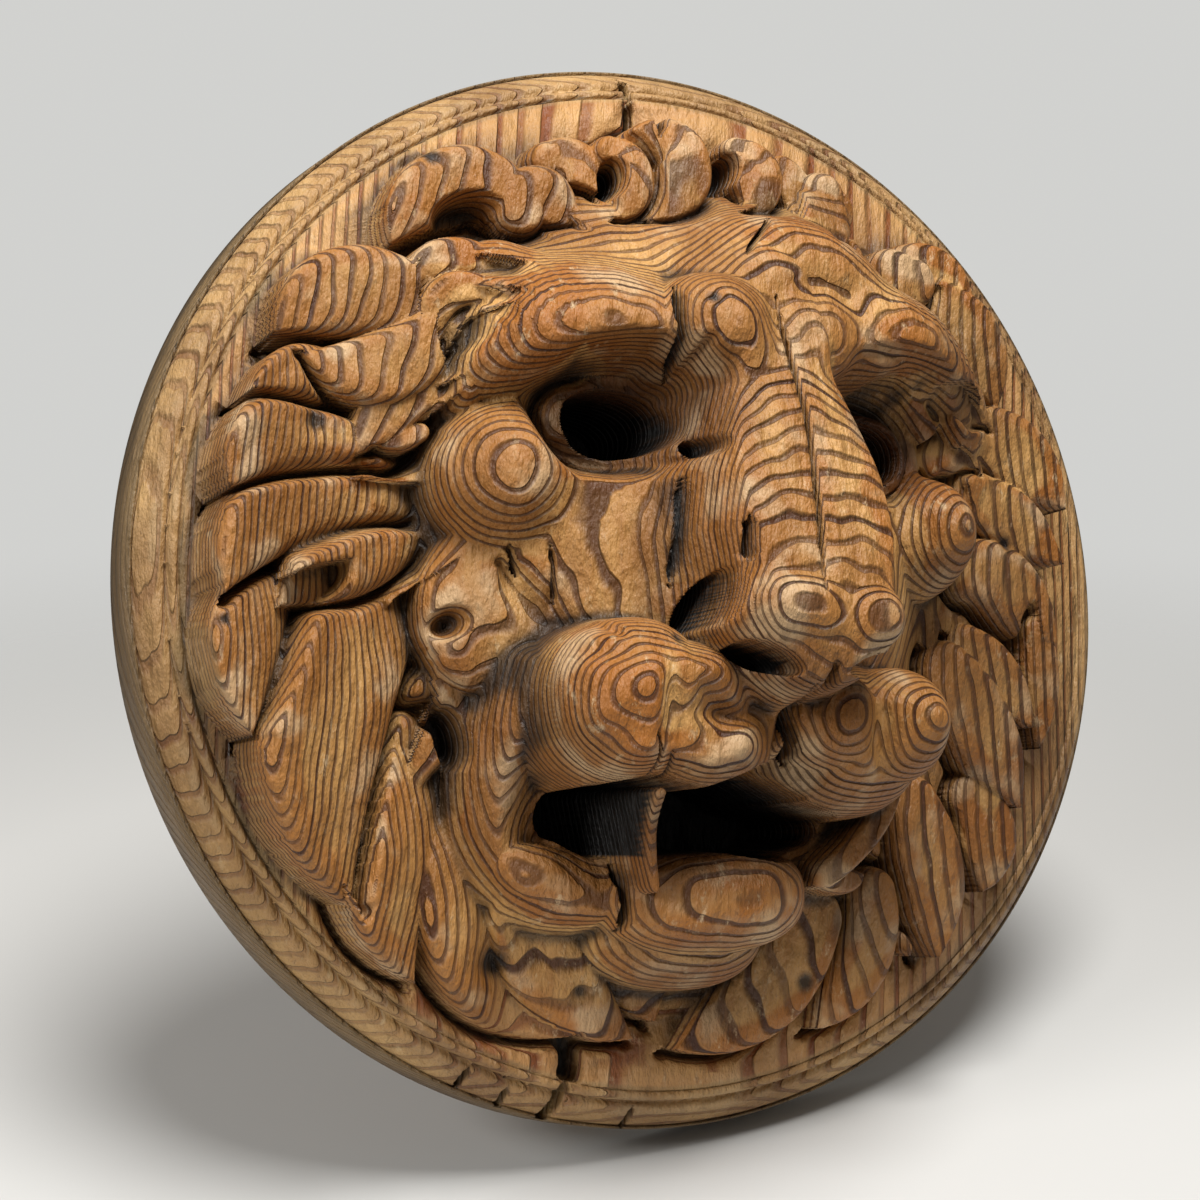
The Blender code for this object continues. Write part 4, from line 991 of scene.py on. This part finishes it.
# columns of the camera's matrix: right, up and back, turned by the roll
def makeCamera():
    az, el, roll = shot["azimuth"], shot["elevation"], shot["roll"]
    back = Vector((math.sin(az) * math.cos(el), -math.cos(az) * math.cos(el), math.sin(el)))
    right = Vector((math.cos(az), math.sin(az), 0))
    up = back.cross(right)
    turnedRight = math.cos(roll) * right + math.sin(roll) * up
    turnedUp = -math.sin(roll) * right + math.cos(roll) * up
    camera = bpy.data.objects.new("camera", bpy.data.cameras.new("camera"))
    bpy.context.scene.collection.objects.link(camera)
    matrix = Matrix((turnedRight, turnedUp, back)).transposed().to_4x4()
    matrix.translation = Vector(shot["place"])
    camera.matrix_world = matrix
    camera.data.lens = shot["lens"]
    camera.data.sensor_width = shot["sensor"]
    camera.data.clip_start = 0.01
    bpy.context.scene.camera = camera
    return turnedRight, turnedUp, back


# The table: how far the camera looks down on it, its size, the gap under the plaque, and the distances
# from the origin over which it fades out
stage = {
    "cameraRise": math.radians(15),
    "size": 4.0,
    "gap": 0.0005,
    "fadeFrom": 0.25,
    "fadeTo": 0.75,
    "colour": (0.62, 0.62, 0.61, 1),
    "roughness": 0.6,
}


# the table: its up direction is the camera's up turned towards the camera's back by cameraRise, so that
# the horizon is level; it touches the lowest place of the plaque's edge
def makeStage(right, up, back):
    rise = stage["cameraRise"]
    tableUp = math.cos(rise) * up + math.sin(rise) * back
    angles = np.linspace(0, 2 * np.pi, 720, endpoint=False)
    rimPoints = np.stack([np.cos(angles), 0 * angles, np.sin(angles)], -1) * plaque["radius"]
    lowest = rimPoints[(rimPoints @ np.array(tableUp)).argmin()]
    side = right.normalized()
    away = tableUp.cross(side)
    half = stage["size"] / 2
    corners = [Vector(lowest) - stage["gap"] * tableUp + u * half * side + v * half * away
               for u, v in ((-1, -1), (1, -1), (1, 1), (-1, 1))]
    mesh = bpy.data.meshes.new("table_top")
    mesh.from_pydata(corners, [], [(0, 1, 2, 3)])
    table = bpy.data.objects.new("table_top", mesh)
    bpy.context.scene.collection.objects.link(table)
    surface = bpy.data.materials.new("pale_table")
    surface.use_nodes = True
    tree = surface.node_tree
    shader = tree.nodes["Principled BSDF"]
    shader.inputs["Base Color"].default_value = stage["colour"]
    shader.inputs["Roughness"].default_value = stage["roughness"]
    clear = addNode(tree, "ShaderNodeBsdfTransparent")
    facing = addNode(tree, "ShaderNodeNewGeometry").outputs["Backfacing"]
    where = addNode(tree, "ShaderNodeTexCoord").outputs["Object"]
    far = addNode(tree, "ShaderNodeVectorMath", {0: where}, operation="LENGTH").outputs["Value"]
    gone = calc(tree, "MAXIMUM", facing, remap(tree, far, stage["fadeFrom"], stage["fadeTo"]))
    blend = addNode(tree, "ShaderNodeMixShader", {0: gone, 1: shader.outputs[0], 2: clear.outputs[0]})
    tree.links.new(blend.outputs[0], tree.nodes["Material Output"].inputs["Surface"])
    mesh.materials.append(surface)
    return tableUp


# Lamps: share of table up, camera right and camera back in their direction, distance, size, watts, colour
lamps = {
    "key": ((1.0, 0.14, 0.30), 0.95, 0.48, 13.8, (1.0, 0.985, 0.96)),
    "fill": ((0.55, -1.0, 0.8), 1.5, 0.5, 10, (1.0, 0.99, 0.97)),
}
aim = Vector((0, -0.05, 0))


# an area light at a distance from aim along a direction, facing aim
def addLamp(name, direction, distance, size, watts, colour):
    data = bpy.data.lights.new(name, "AREA")
    data.shape = "DISK"
    data.size = size
    data.energy = watts
    data.color = colour
    lamp = bpy.data.objects.new(name, data)
    bpy.context.scene.collection.objects.link(lamp)
    lamp.location = direction.normalized() * distance + aim
    lamp.rotation_euler = direction.to_track_quat("Z", "Y").to_euler()
    return lamp


right, up, back = makeCamera()
tableUp = makeStage(right, up, back)
for name, (shares, *values) in lamps.items():
    addLamp(name, shares[0] * tableUp + shares[1] * right + shares[2] * back, *values)

# The room: colour and strength of what the camera sees, and of the light that it gives
room = {"shown": ((0.80, 0.80, 0.78, 1), 0.80), "given": ((0.84, 0.80, 0.74, 1), 0.22)}


# what the camera sees behind is paler than the light that it gives
def makeRoom():
    world = bpy.data.worlds.new("pale_room")
    world.use_nodes = True
    tree = world.node_tree
    shown = addNode(tree, "ShaderNodeBackground", dict(enumerate(room["shown"])))
    given = tree.nodes["Background"]
    given.inputs[0].default_value, given.inputs[1].default_value = room["given"]
    seen = addNode(tree, "ShaderNodeLightPath").outputs["Is Camera Ray"]
    blend = addNode(tree, "ShaderNodeMixShader", {0: seen, 1: given.outputs[0], 2: shown.outputs[0]})
    tree.links.new(blend.outputs[0], tree.nodes["World Output"].inputs["Surface"])
    bpy.context.scene.world = world


makeRoom()
bpy.context.scene.view_settings.view_transform = "Standard"
print("camera, table and lights placed")
